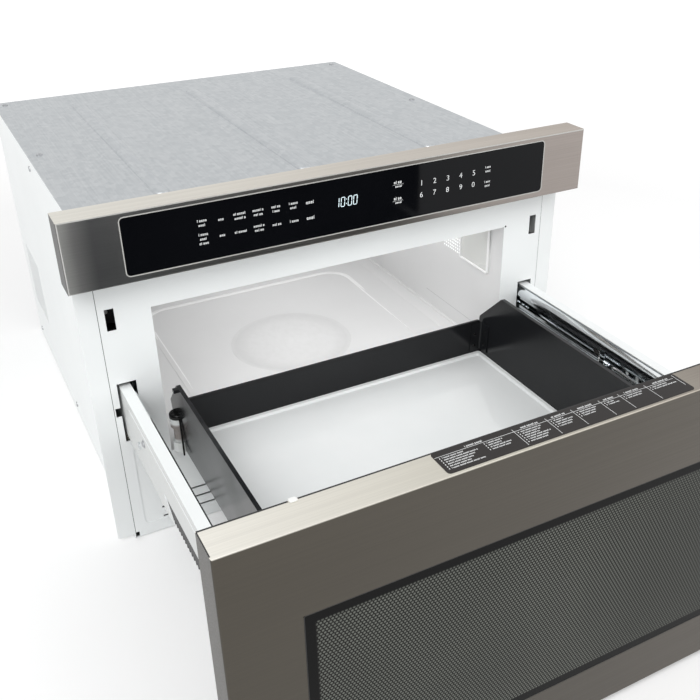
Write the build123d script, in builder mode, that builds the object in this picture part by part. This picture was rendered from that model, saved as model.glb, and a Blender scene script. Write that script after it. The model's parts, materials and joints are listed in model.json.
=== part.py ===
"""Built-in microwave drawer, 24 inch class, shown with its drawer fully out.

Frame: +X to the user's right, +Y into the cabinet, +Z up, millimetres.
Origin: bottom edge of the white front plate, on the centre line, where the
face of the cabinet meets the shelf that the oven stands on.
"""
from build123d import *
from math import cos, pi, radians, sin
import os

os.makedirs("parts", exist_ok=True)

SIDES = {"left": -1, "right": 1}

# ---------------------------------------------------------------- sizes
# fits
slip = 0.3               # gap between pieces that slide past each other
seat = 0.2               # gap round a piece set into a window or a recess
shaft_fit = 0.05         # radial running clearance of a shaft in its bush

# cavity
cavity_half_width = 221.0
cavity_floor = 105.0
cavity_height = 182.0
cavity_back = 436.0
liner_sheet = 0.8
well_radius = 82.0
well_depth = 17.0
well_y = 170.0
well_ledge = 6.0
well_cover_thickness = 1.5
coupling_radius = 12.0
bead_half_width = 165.0
bead_near = 38.0
bead_far = 358.0
bead_width = 6.0
bead_height = 0.5
bead_corner = 40.0

# cavity lamp and vent field, in the right wall
lamp_y_front = 27.0
lamp_length = 66.0
lamp_height = 38.0
lamp_above_bracket = 2.7
lamp_window_thickness = 1.5
lamp_border = 3.0
lamp_corner = 4.0
lamp_plate = 2.0
bulb_radius = 12.0
bulb_length = 30.0
vent_hole_pitch = 4.6
vent_hole_rows = 9
vent_hole_radius = 1.3
vent_field_gap = 4.6
vent_field_rise = 3.0    # above the lamp window's middle

# basket
basket_clearance = 1.3   # above the cavity floor
basket_side_room = 13.8  # from a side wall's foot to the cavity's wall
basket_rear_room = 12.0  # to the cavity's back wall, drawer shut
wall_thickness = 4.4
wall_lean = 4.4          # outwards, foot to top
wall_height = 94.4
wall_rear = 20.0
wall_slope_run = 42.0
wall_slope_drop = 41.0
wall_corner = 4.0
wall_tab_reach = 5.5
wall_tab_length = 6.0
wall_tab_height = 3.5
back_wall_inset = 3.6
back_wall_thickness = 3.0
back_wall_height = 51.0
tray_floor = 3.0
tray_rim_height = 5.3
tray_rim_width = 4.5
tray_taper = 40.0
post_from_rear = 22.0
post_radius = 9.0
post_neck = 6.5
post_height = 43.2
post_foot_height = 12.0
post_dome_height = 12.0
cap_radius = 9.5
cap_height = 5.5
cap_rounding = 2.5

# slide rails, arms, racks (right-hand side; the left one is mirrored)
bracket_reach = 22.0     # from the cavity's wall
bracket_sheet = 1.5
bracket_half_height = 30.0
bracket_boss_inset = 40.0
bracket_rear_gap = 12.0  # to the cavity's back
bracket_boss_radius = 3.5
rail_gap = 4.3           # bracket to moving rail
rail_width = 15.5
rail_height = 41.6
rail_sheet = 1.2
rail_slip = 0.8          # between nested rails
rail_rounding = 11.0     # its shoulders
rail_lip = 12.0
rail_rear = 60.0
rail_hole_y = -194.0
rail_hole_rise = 9.5
rail_hole_step = 16.0
rail_hole_radius = 2.6
mid_front = -157.0
mid_length = 400.0
mid_lip = 14.4
fixed_front = 12.0
fixed_length = 440.0
fixed_lip = 8.0
arm_rise = 96.6          # cavity floor to the top of the arm
arm_width = 12.0
arm_sheet = 1.2
arm_deep_height = 61.6
arm_shallow_height = 40.6
arm_step_rear = -141.0
arm_step_front = -168.0
arm_boss_above = 12.0
arm_boss_below = 9.6
arm_boss_rear = -27.0
arm_boss_height = 0.6
arm_boss_inset = 6.0
arm_screw_places = (-330.0, -61.0, 40.0)
arm_screw_drop = 35.6
screw_radius = 2.0
screw_head_radius = 4.0
screw_head_height = 1.6

# drive
gear_module = 2.0
gear_teeth = 48
pinion_teeth = 12
rack_drop = 15.5         # moving rail to the rack's pitch line
rack_overrun = 19.0      # rack behind the gear, drawer out
gear_y = 56.0
gear_width = 7.3
gear_side_gap = 0.5      # gear to the arm's web
gear_hub_radius = 9.0
tooth_addendum = 0.85    # in modules
tooth_dedendum = 1.1
tooth_fullness = 0.225   # half a tooth's thickness at the pitch line, in pitches
tooth_slope = 0.33       # flank's sideways run per unit of height
shaft_radius = 4.0
pinion_shaft_radius = 3.0
pinion_shaft_depth = 8.0
pinion_angle = -30.0
hub_length = 7.2
shaft_bracket_thickness = 4.0
shaft_bracket_half_length = 24.0
shaft_bracket_foot = 24.0
gearbox_width = 34.0
gearbox_half = 20.0
gearbox_corner = 6.0
motor_radius = 17.0
motor_length = 55.0

# chassis
case_gap = 11.5          # arm to the case's side
case_roof_space = 85.0   # cavity roof to the top of the case
machine_depth = 152.0    # behind the cavity
chassis_sheet = 1.0
flange_reach = 19.0
flange_foot = 5.7
flange_corner = 2.0
plate_sheet = 1.2
plate_gap = 0.6          # seam between the front plate and the side flanges
plate_notch_width = 4.0
plate_notch_height = 7.5
vent_count = 9
vent_width = 5.0
vent_pitch = 11.0
vent_height = 96.0
side_vent_from_back = 90.0
side_vent_z = 120.0
shelf_hole_radius = 2.75
shelf_hole_x = 200.0
shelf_hole_front = 20.0
shelf_hole_from_back = 28.0

# openings in the front plate
latch_from_opening = 42.5
latch_drop = 4.7         # below the cavity's roof
latch_hole_width = 9.6
latch_hole_height = 24.6
slot_inner_gap = 1.2
slot_outer_gap = 3.0
slot_gap_below = 6.8
slot_gap_above = 5.1
slot_notch_reach = 5.6
slot_notch_drop = 34.7   # slot's top to the notch's middle
slot_notch_height = 11.0
recess_rim = 8.0         # flat rim between the pressed panel and the opening
recess_margin = 11.4
recess_low = 14.0
recess_slot_gap = 9.2
recess_depth = 0.8
recess_corner = 8.0
louvre_inset = 23.0
louvre_width = 69.0
louvre_height = 2.6
louvre_pitch = 13.0
louvre_low = 18.1
louvre_count = 3

# control panel
panel_overlap = 7.2      # beyond the flanges
panel_above_opening = 45.1
panel_height = 72.9
panel_depth = 32.1
panel_sheet = 1.2
panel_edge = 1.5
glass_side_margin = 57.0
glass_bevel = 0.6
control_glass_margin_low = 7.4
control_glass_margin_high = 5.6
control_glass_thickness = 4.0
control_glass_corner = 4.0
carrier_thickness = 3.0
carrier_wall = 2.5
display_half_width = 34.0
display_half_height = 14.0
display_x = -25.0
board_half_width = 150.0
board_above_roof = 7.0
board_height = 68.0
board_stand_off = 10.8
board_thickness = 1.6
board_margin = 8.0
board_post_radius = 3.0
relay_size = 18.0
relay_count = 5
relay_pitch = 52.0

# drawer front
closed_gap = 2.5         # drawer front to front plate, drawer shut
front_reveal = 1.5       # control panel to drawer front
door_thickness = 29.5
door_bottom = 6.0
door_sheet = 1.0
door_edge = 1.5
door_band = 74.4         # height of the steel band above the glass
door_glass_margin_low = 54.0
door_glass_thickness = 4.0
door_glass_border = 11.0
door_window_side_margin = 41.2
door_window_margin_low = 28.0
frame_sheet = 1.2
screen_thickness = 1.0
choke_inner_margin = 4.0
choke_outer_margin = 17.0
choke_thickness = 1.9
label_left = -133.5
label_right = 92.0
label_front_inset = 2.8
label_rear_inset = 1.0
label_thickness = 0.2
label_corner = 3.0

# latches and switches
hook_width = 7.0
hook_height = 12.0
hook_barb = 3.0
hook_barb_length = 7.0
hook_gap = 0.6           # hook tip to switch plunger, drawer shut
plunger_radius = 2.0
plunger_tip = 19.0
plunger_length = 12.0
plunger_proud = 2.5
switch_depth = 24.0
switch_width = 14.0
switch_height = 28.0
switch_foot = 8.0

# microwave generator
guide_half_width = 45.0
guide_depth = 36.1
guide_sheet = 1.0
guide_before_well = 48.0
guide_from_back = 26.0
antenna_radius = 62.0
antenna_thickness = 1.2
antenna_drop = 10.0      # below the cavity floor
antenna_arms = 3
antenna_arm_place = 38.0
antenna_arm_length = 38.0
antenna_arm_width = 19.0
antenna_hub_radius = 8.0
antenna_hub_depth = 4.0
antenna_shaft_radius = 3.0
stirrer_motor_radius = 24.0
stirrer_motor_height = 18.0
magnetron_behind_cavity = 69.0
magnetron_half_width = 40.0
magnetron_half_depth = 32.0
magnetron_height = 84.0
magnetron_fins = 9
magnetron_core_radius = 19.0
fin_thickness = 1.2
fin_half_depth = 28.0
yoke_sheet = 1.5
emitter_radius = 8.0
emitter_length = 22.0

# high voltage supply
transformer_x = -175.0
transformer_from_back = 88.0
transformer_length = 96.0
transformer_depth = 70.0
transformer_height = 78.0
transformer_window = 18.0
coil_corner = 12.0
capacitor_x = 120.0
capacitor_from_back = 98.0
capacitor_length = 90.0
capacitor_radius = 20.0
terminal_radius = 3.0
terminal_length = 8.0
gland_x = -220.0
gland_z = 60.0
gland_radius = 8.0
gland_flange_radius = 12.0
gland_flange_thickness = 2.0
gland_bore = 4.2
gland_proud = 6.0
gland_inside = 6.0

# cooling fan
fan_x = 155.0
fan_z = 190.0
fan_radius = 52.0
fan_hub_radius = 16.0
fan_depth = 14.0
fan_blades = 7
fan_blade_chord = 15.0
fan_blade_pitch = 35.0
fan_blade_thickness = 1.6
fan_shaft_radius = 3.0
fan_motor_gap = 8.0
fan_motor_radius = 27.0
fan_motor_depth = 38.0
shroud_depth = 47.0
shroud_half = 62.0
shroud_sheet = 2.0
spider_width = 10.0

# ---------------------------------------------------------------- worked out
# heights
cavity_roof = cavity_floor + cavity_height
chassis_height = cavity_roof + case_roof_space
plate_top = chassis_height - chassis_sheet
ledge_z = cavity_floor - well_cover_thickness
well_bottom = cavity_floor - liner_sheet - well_depth
guide_high = well_bottom - liner_sheet - slip
guide_low = guide_high - guide_depth
antenna_z = cavity_floor - antenna_drop
antenna_shaft_low = guide_low - stirrer_motor_height / 2
panel_bottom = cavity_roof + panel_above_opening
panel_top = panel_bottom + panel_height
control_glass_low = panel_bottom + control_glass_margin_low
control_glass_high = panel_top - control_glass_margin_high
board_low = cavity_roof + board_above_roof
board_high = board_low + board_height
latch_z = cavity_roof - latch_drop
door_top = panel_bottom - front_reveal
door_glass_high = door_top - door_band
door_glass_low = door_bottom + door_glass_margin_low

basket_bottom = cavity_floor + basket_clearance
wall_top = basket_bottom + wall_height
back_wall_top = basket_bottom + back_wall_height
post_top = basket_bottom + post_height

arm_top = cavity_floor + arm_rise
arm_deep_bottom = arm_top - arm_deep_height
arm_shallow_bottom = arm_top - arm_shallow_height
arm_screw_z = arm_top - arm_screw_drop
rail_top = arm_top - arm_sheet - slip
rail_bottom = rail_top - rail_height
rail_centre = (rail_top + rail_bottom) / 2
rail_hole_z = rail_bottom + rail_hole_rise
rail_nesting = rail_sheet + rail_slip
mid_top = rail_top - rail_nesting
mid_bottom = rail_bottom + rail_nesting
fixed_top = mid_top - rail_nesting
fixed_bottom = mid_bottom + rail_nesting
bracket_low = rail_centre - bracket_half_height
bracket_high = rail_centre + bracket_half_height
lamp_low = bracket_high + lamp_above_bracket
lamp_high = lamp_low + lamp_height
lamp_z = (lamp_low + lamp_high) / 2
vent_field_z = lamp_z + vent_field_rise
slot_bottom = arm_deep_bottom - slot_gap_below
slot_top = arm_top + slot_gap_above
slot_notch_z = slot_top - slot_notch_drop
recess_band = cavity_floor - recess_rim
recess_high = slot_bottom - recess_slot_gap

# half widths, from the cavity outwards
wall_outer = cavity_half_width - basket_side_room
wall_inner = wall_outer - wall_thickness
bracket_seat = cavity_half_width + liner_sheet
bracket_web = cavity_half_width + bracket_reach
rail_inner = bracket_web + bracket_sheet + rail_gap
arm_web = rail_inner + rail_width
arm_outer = arm_web + arm_sheet
arm_inner = arm_outer - arm_width
rail_web = arm_web - rail_sheet
mid_outer = arm_web - rail_nesting
mid_inner = rail_inner + rail_nesting
fixed_outer = mid_outer - rail_nesting
fixed_inner = mid_inner + rail_nesting
slot_inner = rail_inner - slot_inner_gap
slot_outer = arm_outer + slot_outer_gap
latch_x = cavity_half_width + latch_from_opening
chassis_half_width = arm_outer + case_gap
plate_half_width = chassis_half_width - chassis_sheet - plate_gap
flange_half_width = chassis_half_width + flange_reach
recess_inner = cavity_half_width + recess_rim
recess_outer = plate_half_width - recess_margin
louvre_outer = recess_outer - louvre_inset
louvre_inner = louvre_outer - louvre_width
panel_half_width = flange_half_width + panel_overlap
control_glass_half_width = panel_half_width - glass_side_margin
door_half_width = panel_half_width
door_glass_half_width = door_half_width - glass_side_margin

# depths
chassis_depth = cavity_back + machine_depth
drawer_travel = cavity_back - wall_rear - basket_rear_room
door_back = -(drawer_travel + closed_gap)
door_front = door_back - door_thickness
door_glass_front = door_front + seat
door_glass_back = door_glass_front + door_glass_thickness
control_glass_front = -panel_depth + seat
control_glass_back = control_glass_front + control_glass_thickness
basket_front = door_back
back_wall_face = wall_rear - back_wall_inset - back_wall_thickness
post_y = wall_rear - post_from_rear
arm_front = door_back
arm_rear = gear_y + rack_overrun
rail_front = arm_front + arm_sheet + slip
bracket_rear = cavity_back - bracket_rear_gap
bracket_boss_places = (bracket_boss_inset, bracket_rear / 2, bracket_rear - bracket_boss_inset)
lamp_y_rear = lamp_y_front + lamp_length
lamp_y = (lamp_y_front + lamp_y_rear) / 2
vent_field_y = lamp_y_rear + vent_field_gap + (vent_hole_rows - 1) / 2 * vent_hole_pitch
board_y = plate_sheet + board_stand_off
switch_front = plunger_tip + plunger_proud
guide_front = well_y - guide_before_well
guide_rear = chassis_depth - guide_from_back
magnetron_y = cavity_back + magnetron_behind_cavity
transformer_y = chassis_depth - transformer_from_back
capacitor_y = chassis_depth - capacitor_from_back
shroud_front = chassis_depth - chassis_sheet - shroud_depth
fan_front = shroud_front + fan_motor_gap
fan_axis = (fan_x, fan_z)
well_centre = (0, well_y)

# drive
gear_radius = gear_module * gear_teeth / 2
pinion_radius = gear_module * pinion_teeth / 2
tooth_pitch = pi * gear_module
rack_pitch_line = rail_bottom - rack_drop
gear_z = rack_pitch_line - gear_radius
gear_outer = arm_web - gear_side_gap
gear_inner = gear_outer - gear_width
pinion_y = gear_y + (gear_radius + pinion_radius) * cos(radians(pinion_angle))
pinion_z = gear_z + (gear_radius + pinion_radius) * sin(radians(pinion_angle))
shaft_bracket_outer = gear_inner - slip - hub_length
gearbox_inner = shaft_bracket_outer - gearbox_width


# ---------------------------------------------------------------- helpers
def brick(x, y, z, mode=Mode.ADD):
    """A box given by its two ends along each axis."""
    centre = [(min(span) + max(span)) / 2 for span in (x, y, z)]
    size = [abs(span[1] - span[0]) for span in (x, y, z)]
    with Locations(tuple(centre)):
        Box(*size, mode=mode)


def facing(y):
    """Plane parallel to the front at depth y, its normal towards the user."""
    return Plane.XZ.offset(-y)


def lying(z):
    """Horizontal plane at height z."""
    return Plane.XY.offset(z)


def across(x):
    """Plane square to the X axis at x, drawn in Y and Z."""
    return Plane.YZ.offset(x)


def disc(plane, centre, radius, height, mode=Mode.ADD):
    """A cylinder that stands on a plane, along the plane's normal."""
    with BuildSketch(plane) as outline:
        with Locations(centre):
            Circle(radius)
    extrude(outline.sketch, amount=height, mode=mode)


def rectangle(x, z, corner=0.0, mode=Mode.ADD):
    """A rectangle in the current sketch, given by its two ends each way."""
    width = abs(x[1] - x[0])
    height = abs(z[1] - z[0])
    with Locations(((x[0] + x[1]) / 2, (z[0] + z[1]) / 2)):
        if corner:
            RectangleRounded(width, height, corner, mode=mode)
        else:
            Rectangle(width, height, mode=mode)


def on_side(part, side):
    """The right-hand piece, or its mirror image for the left."""
    return part if side > 0 else part.mirror(Plane.YZ)


def both_sides(part):
    """The right-hand piece together with its mirror image."""
    return Compound(children=[part, part.mirror(Plane.YZ)])


def save(name, part):
    """Write one piece as its own STEP file."""
    part.label = name
    export_step(part, f"parts/{name}.step")


def channel(inner, outer, low, high, lip, rounding, y):
    """A C rail that opens towards the cavity, with rounded shoulders and turned-in lips."""
    with BuildPart() as rail:
        with BuildSketch(facing(y[0])) as section:
            rectangle((inner, outer), (low, high))
            fillet(section.vertices().group_by(Axis.X)[0], rounding)
            offset(amount=-rail_sheet, mode=Mode.SUBTRACT)
            rectangle((inner, inner + rail_sheet), (low + lip, high - lip), mode=Mode.SUBTRACT)
        extrude(amount=y[0] - y[1])
    return rail


def tooth_points(radius, teeth, turn):
    """Corner points of a spur gear's outline, one straight-flanked tooth at a time."""
    points = []
    for tooth in range(teeth):
        centre = 2 * pi * tooth / teeth + turn
        for height, sense in ((-tooth_dedendum, -1), (tooth_addendum, -1),
                              (tooth_addendum, 1), (-tooth_dedendum, 1)):
            half = tooth_fullness * tooth_pitch - tooth_slope * height * gear_module
            r = radius + height * gear_module
            angle = centre + sense * half / radius
            points.append((r * cos(angle), r * sin(angle)))
    return points


def spur_gear(radius, teeth, turn, x, y, z):
    """Add a spur gear whose axis runs along X, from x[0] to x[1]."""
    with BuildSketch(Plane(origin=(x[0], y, z), x_dir=(0, 1, 0), z_dir=(1, 0, 0))) as outline:
        with BuildLine():
            Polyline(*tooth_points(radius, teeth, turn), close=True)
        make_face()
    extrude(outline.sketch, amount=x[1] - x[0])


def plate_recess(y, inset):
    """Outline of the panel pressed into the front plate, drawn in by its inset."""
    with BuildSketch(facing(y)) as recess:
        rectangle((-recess_outer, recess_outer), (recess_low, recess_high), corner=recess_corner)
        rectangle((-recess_inner, recess_inner), (recess_band, recess_high), mode=Mode.SUBTRACT)
        if inset:
            offset(amount=-inset)
    return recess.sketch


# ---------------------------------------------------------------- chassis
with BuildPart() as base_plate:
    brick((-chassis_half_width + chassis_sheet, chassis_half_width - chassis_sheet),
          (plate_sheet, chassis_depth - chassis_sheet), (0, chassis_sheet))
    holes = [(side * shelf_hole_x, hole_y) for side in SIDES.values()
             for hole_y in (shelf_hole_front, chassis_depth - shelf_hole_from_back)]
    with BuildSketch(lying(0)):
        with Locations(*holes):
            Circle(shelf_hole_radius)
    extrude(amount=chassis_sheet, mode=Mode.SUBTRACT)
save("base_plate", base_plate.part)

with BuildPart() as side_panel:
    brick((chassis_half_width - chassis_sheet, flange_half_width), (0, chassis_sheet),
          (flange_foot, plate_top))
    fillet(side_panel.edges().filter_by(Axis.Y).group_by(Axis.X)[-1], flange_corner)
    brick((chassis_half_width - chassis_sheet, chassis_half_width), (0, chassis_depth),
          (0, plate_top))
    with BuildSketch(across(chassis_half_width)):
        with GridLocations(vent_pitch, 1, vent_count, 1):
            with Locations((chassis_depth - side_vent_from_back, side_vent_z)):
                SlotOverall(vent_height, vent_width, rotation=90)
    extrude(amount=-chassis_sheet, mode=Mode.SUBTRACT)
for name, side in SIDES.items():
    save(f"side_panel_{name}", on_side(side_panel.part, side))

with BuildPart() as top_cover:
    brick((-chassis_half_width, chassis_half_width), (plate_sheet, chassis_depth),
          (plate_top, chassis_height))
save("top_cover", top_cover.part)

with BuildPart() as back_panel:
    brick((-chassis_half_width + chassis_sheet, chassis_half_width - chassis_sheet),
          (chassis_depth - chassis_sheet, chassis_depth), (0, plate_top))
    with BuildSketch(facing(chassis_depth - chassis_sheet)):
        with Locations((gland_x, gland_z)):
            Circle(gland_radius)
        with Locations(fan_axis):
            with GridLocations(vent_pitch, 1, vent_count, 1):
                SlotOverall(vent_height, vent_width, rotation=90)
    extrude(amount=-chassis_sheet, mode=Mode.SUBTRACT)
save("back_panel", back_panel.part)

with BuildPart() as front_plate:
    with BuildSketch(facing(0)):
        rectangle((-plate_half_width, plate_half_width), (0, plate_top))
        rectangle((-cavity_half_width, cavity_half_width), (cavity_floor, cavity_roof),
                  mode=Mode.SUBTRACT)
        for side in SIDES.values():
            rectangle((side * (latch_x - latch_hole_width / 2), side * (latch_x + latch_hole_width / 2)),
                      (latch_z - latch_hole_height / 2, latch_z + latch_hole_height / 2),
                      mode=Mode.SUBTRACT)
            rectangle((side * slot_inner, side * slot_outer), (slot_bottom, slot_top),
                      mode=Mode.SUBTRACT)
            rectangle((side * slot_outer, side * (slot_outer + slot_notch_reach)),
                      (slot_notch_z - slot_notch_height / 2, slot_notch_z + slot_notch_height / 2),
                      mode=Mode.SUBTRACT)
            rectangle((side * (plate_half_width - plate_notch_width), side * plate_half_width),
                      (0, plate_notch_height), mode=Mode.SUBTRACT)
    extrude(amount=-plate_sheet)
    extrude(plate_recess(plate_sheet, 0), amount=-recess_depth)
    extrude(plate_recess(0, plate_sheet), amount=-recess_depth, mode=Mode.SUBTRACT)
    with BuildSketch(facing(0)):
        for side in SIDES.values():
            for louvre in range(louvre_count):
                height = louvre_low + louvre * louvre_pitch
                rectangle((side * louvre_inner, side * louvre_outer),
                          (height - louvre_height / 2, height + louvre_height / 2))
    extrude(amount=-plate_sheet - recess_depth, mode=Mode.SUBTRACT)
save("front_plate", front_plate.part)

# ---------------------------------------------------------------- cavity
liner_x = (-cavity_half_width - liner_sheet, cavity_half_width + liner_sheet)
liner_y = (plate_sheet, cavity_back + liner_sheet)

with BuildPart() as cavity_floor_pan:
    brick(liner_x, liner_y, (cavity_floor - liner_sheet, cavity_floor))
    disc(lying(ledge_z - liner_sheet), well_centre, well_radius + liner_sheet,
         liner_sheet + well_cover_thickness)
    disc(lying(well_bottom - liner_sheet), well_centre, well_radius - well_ledge + liner_sheet,
         well_depth)
    disc(lying(ledge_z), well_centre, well_radius, well_cover_thickness, mode=Mode.SUBTRACT)
    disc(lying(well_bottom), well_centre, well_radius - well_ledge, well_depth, mode=Mode.SUBTRACT)
    disc(lying(well_bottom - liner_sheet), well_centre, coupling_radius, liner_sheet,
         mode=Mode.SUBTRACT)
    with BuildSketch(lying(cavity_floor)) as bead:
        rectangle((-bead_half_width, bead_half_width), (bead_near, bead_far), corner=bead_corner)
        offset(amount=-bead_width, mode=Mode.SUBTRACT)
    extrude(amount=bead_height)
save("cavity_floor_pan", cavity_floor_pan.part)

with BuildPart() as cavity_roof_panel:
    brick(liner_x, liner_y, (cavity_roof, cavity_roof + liner_sheet))
save("cavity_roof_panel", cavity_roof_panel.part)

with BuildPart() as cavity_rear_panel:
    brick(liner_x, (cavity_back, cavity_back + liner_sheet), (cavity_floor, cavity_roof))
save("cavity_rear_panel", cavity_rear_panel.part)

side_y = (plate_sheet, cavity_back)
with BuildPart() as cavity_side_left:
    brick((liner_x[0], -cavity_half_width), side_y, (cavity_floor, cavity_roof))
save("cavity_side_left", cavity_side_left.part)

with BuildPart() as cavity_side_right:
    brick((cavity_half_width, liner_x[1]), side_y, (cavity_floor, cavity_roof))
    brick((cavity_half_width, liner_x[1]), (lamp_y_front + lamp_border, lamp_y_rear - lamp_border),
          (lamp_low + lamp_border, lamp_high - lamp_border), mode=Mode.SUBTRACT)
    with BuildSketch(across(cavity_half_width)):
        with Locations((vent_field_y, vent_field_z)):
            with GridLocations(vent_hole_pitch, vent_hole_pitch, vent_hole_rows, vent_hole_rows):
                Circle(vent_hole_radius)
    extrude(amount=liner_sheet, mode=Mode.SUBTRACT)
save("cavity_side_right", cavity_side_right.part)

with BuildPart() as stirrer_cover:
    disc(lying(ledge_z), well_centre, well_radius - seat, well_cover_thickness)
save("stirrer_cover", stirrer_cover.part)

with BuildPart() as lamp_window:
    with BuildSketch(across(cavity_half_width)):
        rectangle((lamp_y_front, lamp_y_rear), (lamp_low, lamp_high), corner=lamp_corner)
    extrude(amount=-lamp_window_thickness)
save("lamp_window", lamp_window.part)

with BuildPart() as cavity_lamp:
    lamp_foot = cavity_half_width + liner_sheet
    brick((lamp_foot, lamp_foot + lamp_plate), (lamp_y_front, lamp_y_rear), (lamp_low, lamp_high))
    disc(across(lamp_foot + lamp_plate), (lamp_y, lamp_z), bulb_radius, bulb_length)
    fillet(cavity_lamp.edges().group_by(Axis.X)[-1], bulb_radius / 2)
save("cavity_lamp", cavity_lamp.part)

# ---------------------------------------------------------------- microwave feed
with BuildPart() as waveguide:
    guide_x = (-guide_half_width, guide_half_width)
    brick(guide_x, (guide_front, guide_rear), (guide_low, guide_high))
    brick((-guide_half_width + guide_sheet, guide_half_width - guide_sheet),
          (guide_front + guide_sheet, guide_rear - guide_sheet),
          (guide_low + guide_sheet, guide_high - guide_sheet), mode=Mode.SUBTRACT)
    disc(lying(guide_low), well_centre, antenna_shaft_radius + slip, guide_sheet, mode=Mode.SUBTRACT)
    disc(lying(guide_high - guide_sheet), well_centre, coupling_radius, guide_sheet,
         mode=Mode.SUBTRACT)
    disc(lying(guide_high - guide_sheet), (0, magnetron_y), emitter_radius + slip, guide_sheet,
         mode=Mode.SUBTRACT)
save("waveguide", waveguide.part)

with BuildPart() as stirrer_motor:
    disc(lying(guide_low), well_centre, stirrer_motor_radius, -stirrer_motor_height)
    disc(lying(guide_low), well_centre, antenna_shaft_radius + shaft_fit, -stirrer_motor_height / 2,
         mode=Mode.SUBTRACT)
save("stirrer_motor", stirrer_motor.part)

with BuildPart() as stirrer_antenna:
    disc(lying(antenna_z), well_centre, antenna_radius, antenna_thickness)
    with BuildSketch(lying(antenna_z)):
        with Locations(well_centre):
            with PolarLocations(antenna_arm_place, antenna_arms):
                SlotOverall(antenna_arm_length, antenna_arm_width)
    extrude(amount=antenna_thickness, mode=Mode.SUBTRACT)
    disc(lying(antenna_z), well_centre, antenna_hub_radius, -antenna_hub_depth)
    disc(lying(antenna_z), well_centre, antenna_shaft_radius, antenna_shaft_low - antenna_z)
save("stirrer_antenna", stirrer_antenna.part)

with BuildPart() as magnetron:
    magnetron_x = (-magnetron_half_width, magnetron_half_width)
    magnetron_span = (magnetron_y - magnetron_half_depth, magnetron_y + magnetron_half_depth)
    disc(lying(guide_high), (0, magnetron_y), magnetron_core_radius, magnetron_height)
    disc(lying(guide_high), (0, magnetron_y), emitter_radius, -emitter_length)
    brick(magnetron_x, magnetron_span, (guide_high, guide_high + yoke_sheet))
    brick(magnetron_x, magnetron_span,
          (guide_high + magnetron_height - yoke_sheet, guide_high + magnetron_height))
    for side in SIDES.values():
        brick((side * magnetron_half_width, side * (magnetron_half_width - yoke_sheet)),
              magnetron_span, (guide_high, guide_high + magnetron_height))
    fin_pitch = magnetron_height / (magnetron_fins + 1)
    for fin in range(1, magnetron_fins + 1):
        fin_z = guide_high + fin * fin_pitch
        brick(magnetron_x, (magnetron_y - fin_half_depth, magnetron_y + fin_half_depth),
              (fin_z - fin_thickness / 2, fin_z + fin_thickness / 2))
save("magnetron", magnetron.part)

# ---------------------------------------------------------------- power supply
with BuildPart() as transformer_core:
    core_z = (chassis_sheet, chassis_sheet + transformer_height)
    core_y = (transformer_y - transformer_depth / 2, transformer_y + transformer_depth / 2)
    brick((transformer_x - transformer_length / 2, transformer_x + transformer_length / 2),
          core_y, core_z)
    limb = (transformer_length - 2 * transformer_window) / 6
    for side in SIDES.values():
        window_x = (transformer_x + side * limb, transformer_x + side * (limb + transformer_window))
        brick(window_x, core_y, (core_z[0] + limb, core_z[1] - limb), mode=Mode.SUBTRACT)
save("transformer_core", transformer_core.part)

with BuildPart() as transformer_winding:
    coil_half = limb + transformer_window - slip
    coil_y = transformer_depth / 2 + transformer_window
    coil_z = (core_z[0] + limb + slip, core_z[1] - limb - slip)
    brick((transformer_x - coil_half, transformer_x + coil_half),
          (transformer_y - coil_y, transformer_y + coil_y), coil_z)
    fillet(transformer_winding.edges().filter_by(Axis.Z), coil_corner)
    brick((transformer_x - limb - slip, transformer_x + limb + slip),
          (core_y[0] - slip, core_y[1] + slip), coil_z, mode=Mode.SUBTRACT)
save("transformer_winding", transformer_winding.part)

with BuildPart() as hv_capacitor:
    with BuildSketch(across(capacitor_x)):
        with Locations((capacitor_y, chassis_sheet + capacitor_radius)):
            SlotOverall(3 * capacitor_radius, 2 * capacitor_radius)
    extrude(amount=capacitor_length)
    for side in SIDES.values():
        disc(across(capacitor_x), (capacitor_y + side * capacitor_radius / 2,
                                   chassis_sheet + capacitor_radius), terminal_radius,
             -terminal_length)
save("hv_capacitor", hv_capacitor.part)

with BuildPart() as power_gland:
    disc(facing(chassis_depth), (gland_x, gland_z), gland_flange_radius, -gland_flange_thickness)
    disc(facing(chassis_depth), (gland_x, gland_z), gland_radius - seat, -gland_proud)
    disc(facing(chassis_depth), (gland_x, gland_z), gland_radius - seat, gland_inside)
    disc(facing(chassis_depth + gland_proud), (gland_x, gland_z), gland_bore,
         gland_proud + gland_inside, mode=Mode.SUBTRACT)
save("power_gland", power_gland.part)

# ---------------------------------------------------------------- cooling fan
with BuildPart() as fan_shroud:
    with BuildSketch(facing(shroud_front)):
        with Locations(fan_axis):
            Rectangle(2 * shroud_half, 2 * shroud_half)
            Rectangle(2 * (shroud_half - shroud_sheet), 2 * (shroud_half - shroud_sheet),
                      mode=Mode.SUBTRACT)
    extrude(amount=-shroud_depth)
    with BuildSketch(facing(shroud_front)):
        with Locations(fan_axis):
            Rectangle(2 * shroud_half, spider_width)
            Rectangle(spider_width, 2 * shroud_half)
            Circle(fan_motor_radius)
            Circle(fan_shaft_radius + slip, mode=Mode.SUBTRACT)
    extrude(amount=-shroud_sheet)
save("fan_shroud", fan_shroud.part)

with BuildPart() as fan_motor:
    disc(facing(shroud_front), fan_axis, fan_motor_radius, fan_motor_depth)
    disc(facing(shroud_front), fan_axis, fan_shaft_radius + shaft_fit, fan_motor_depth / 2,
         mode=Mode.SUBTRACT)
save("fan_motor", fan_motor.part)

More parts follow.
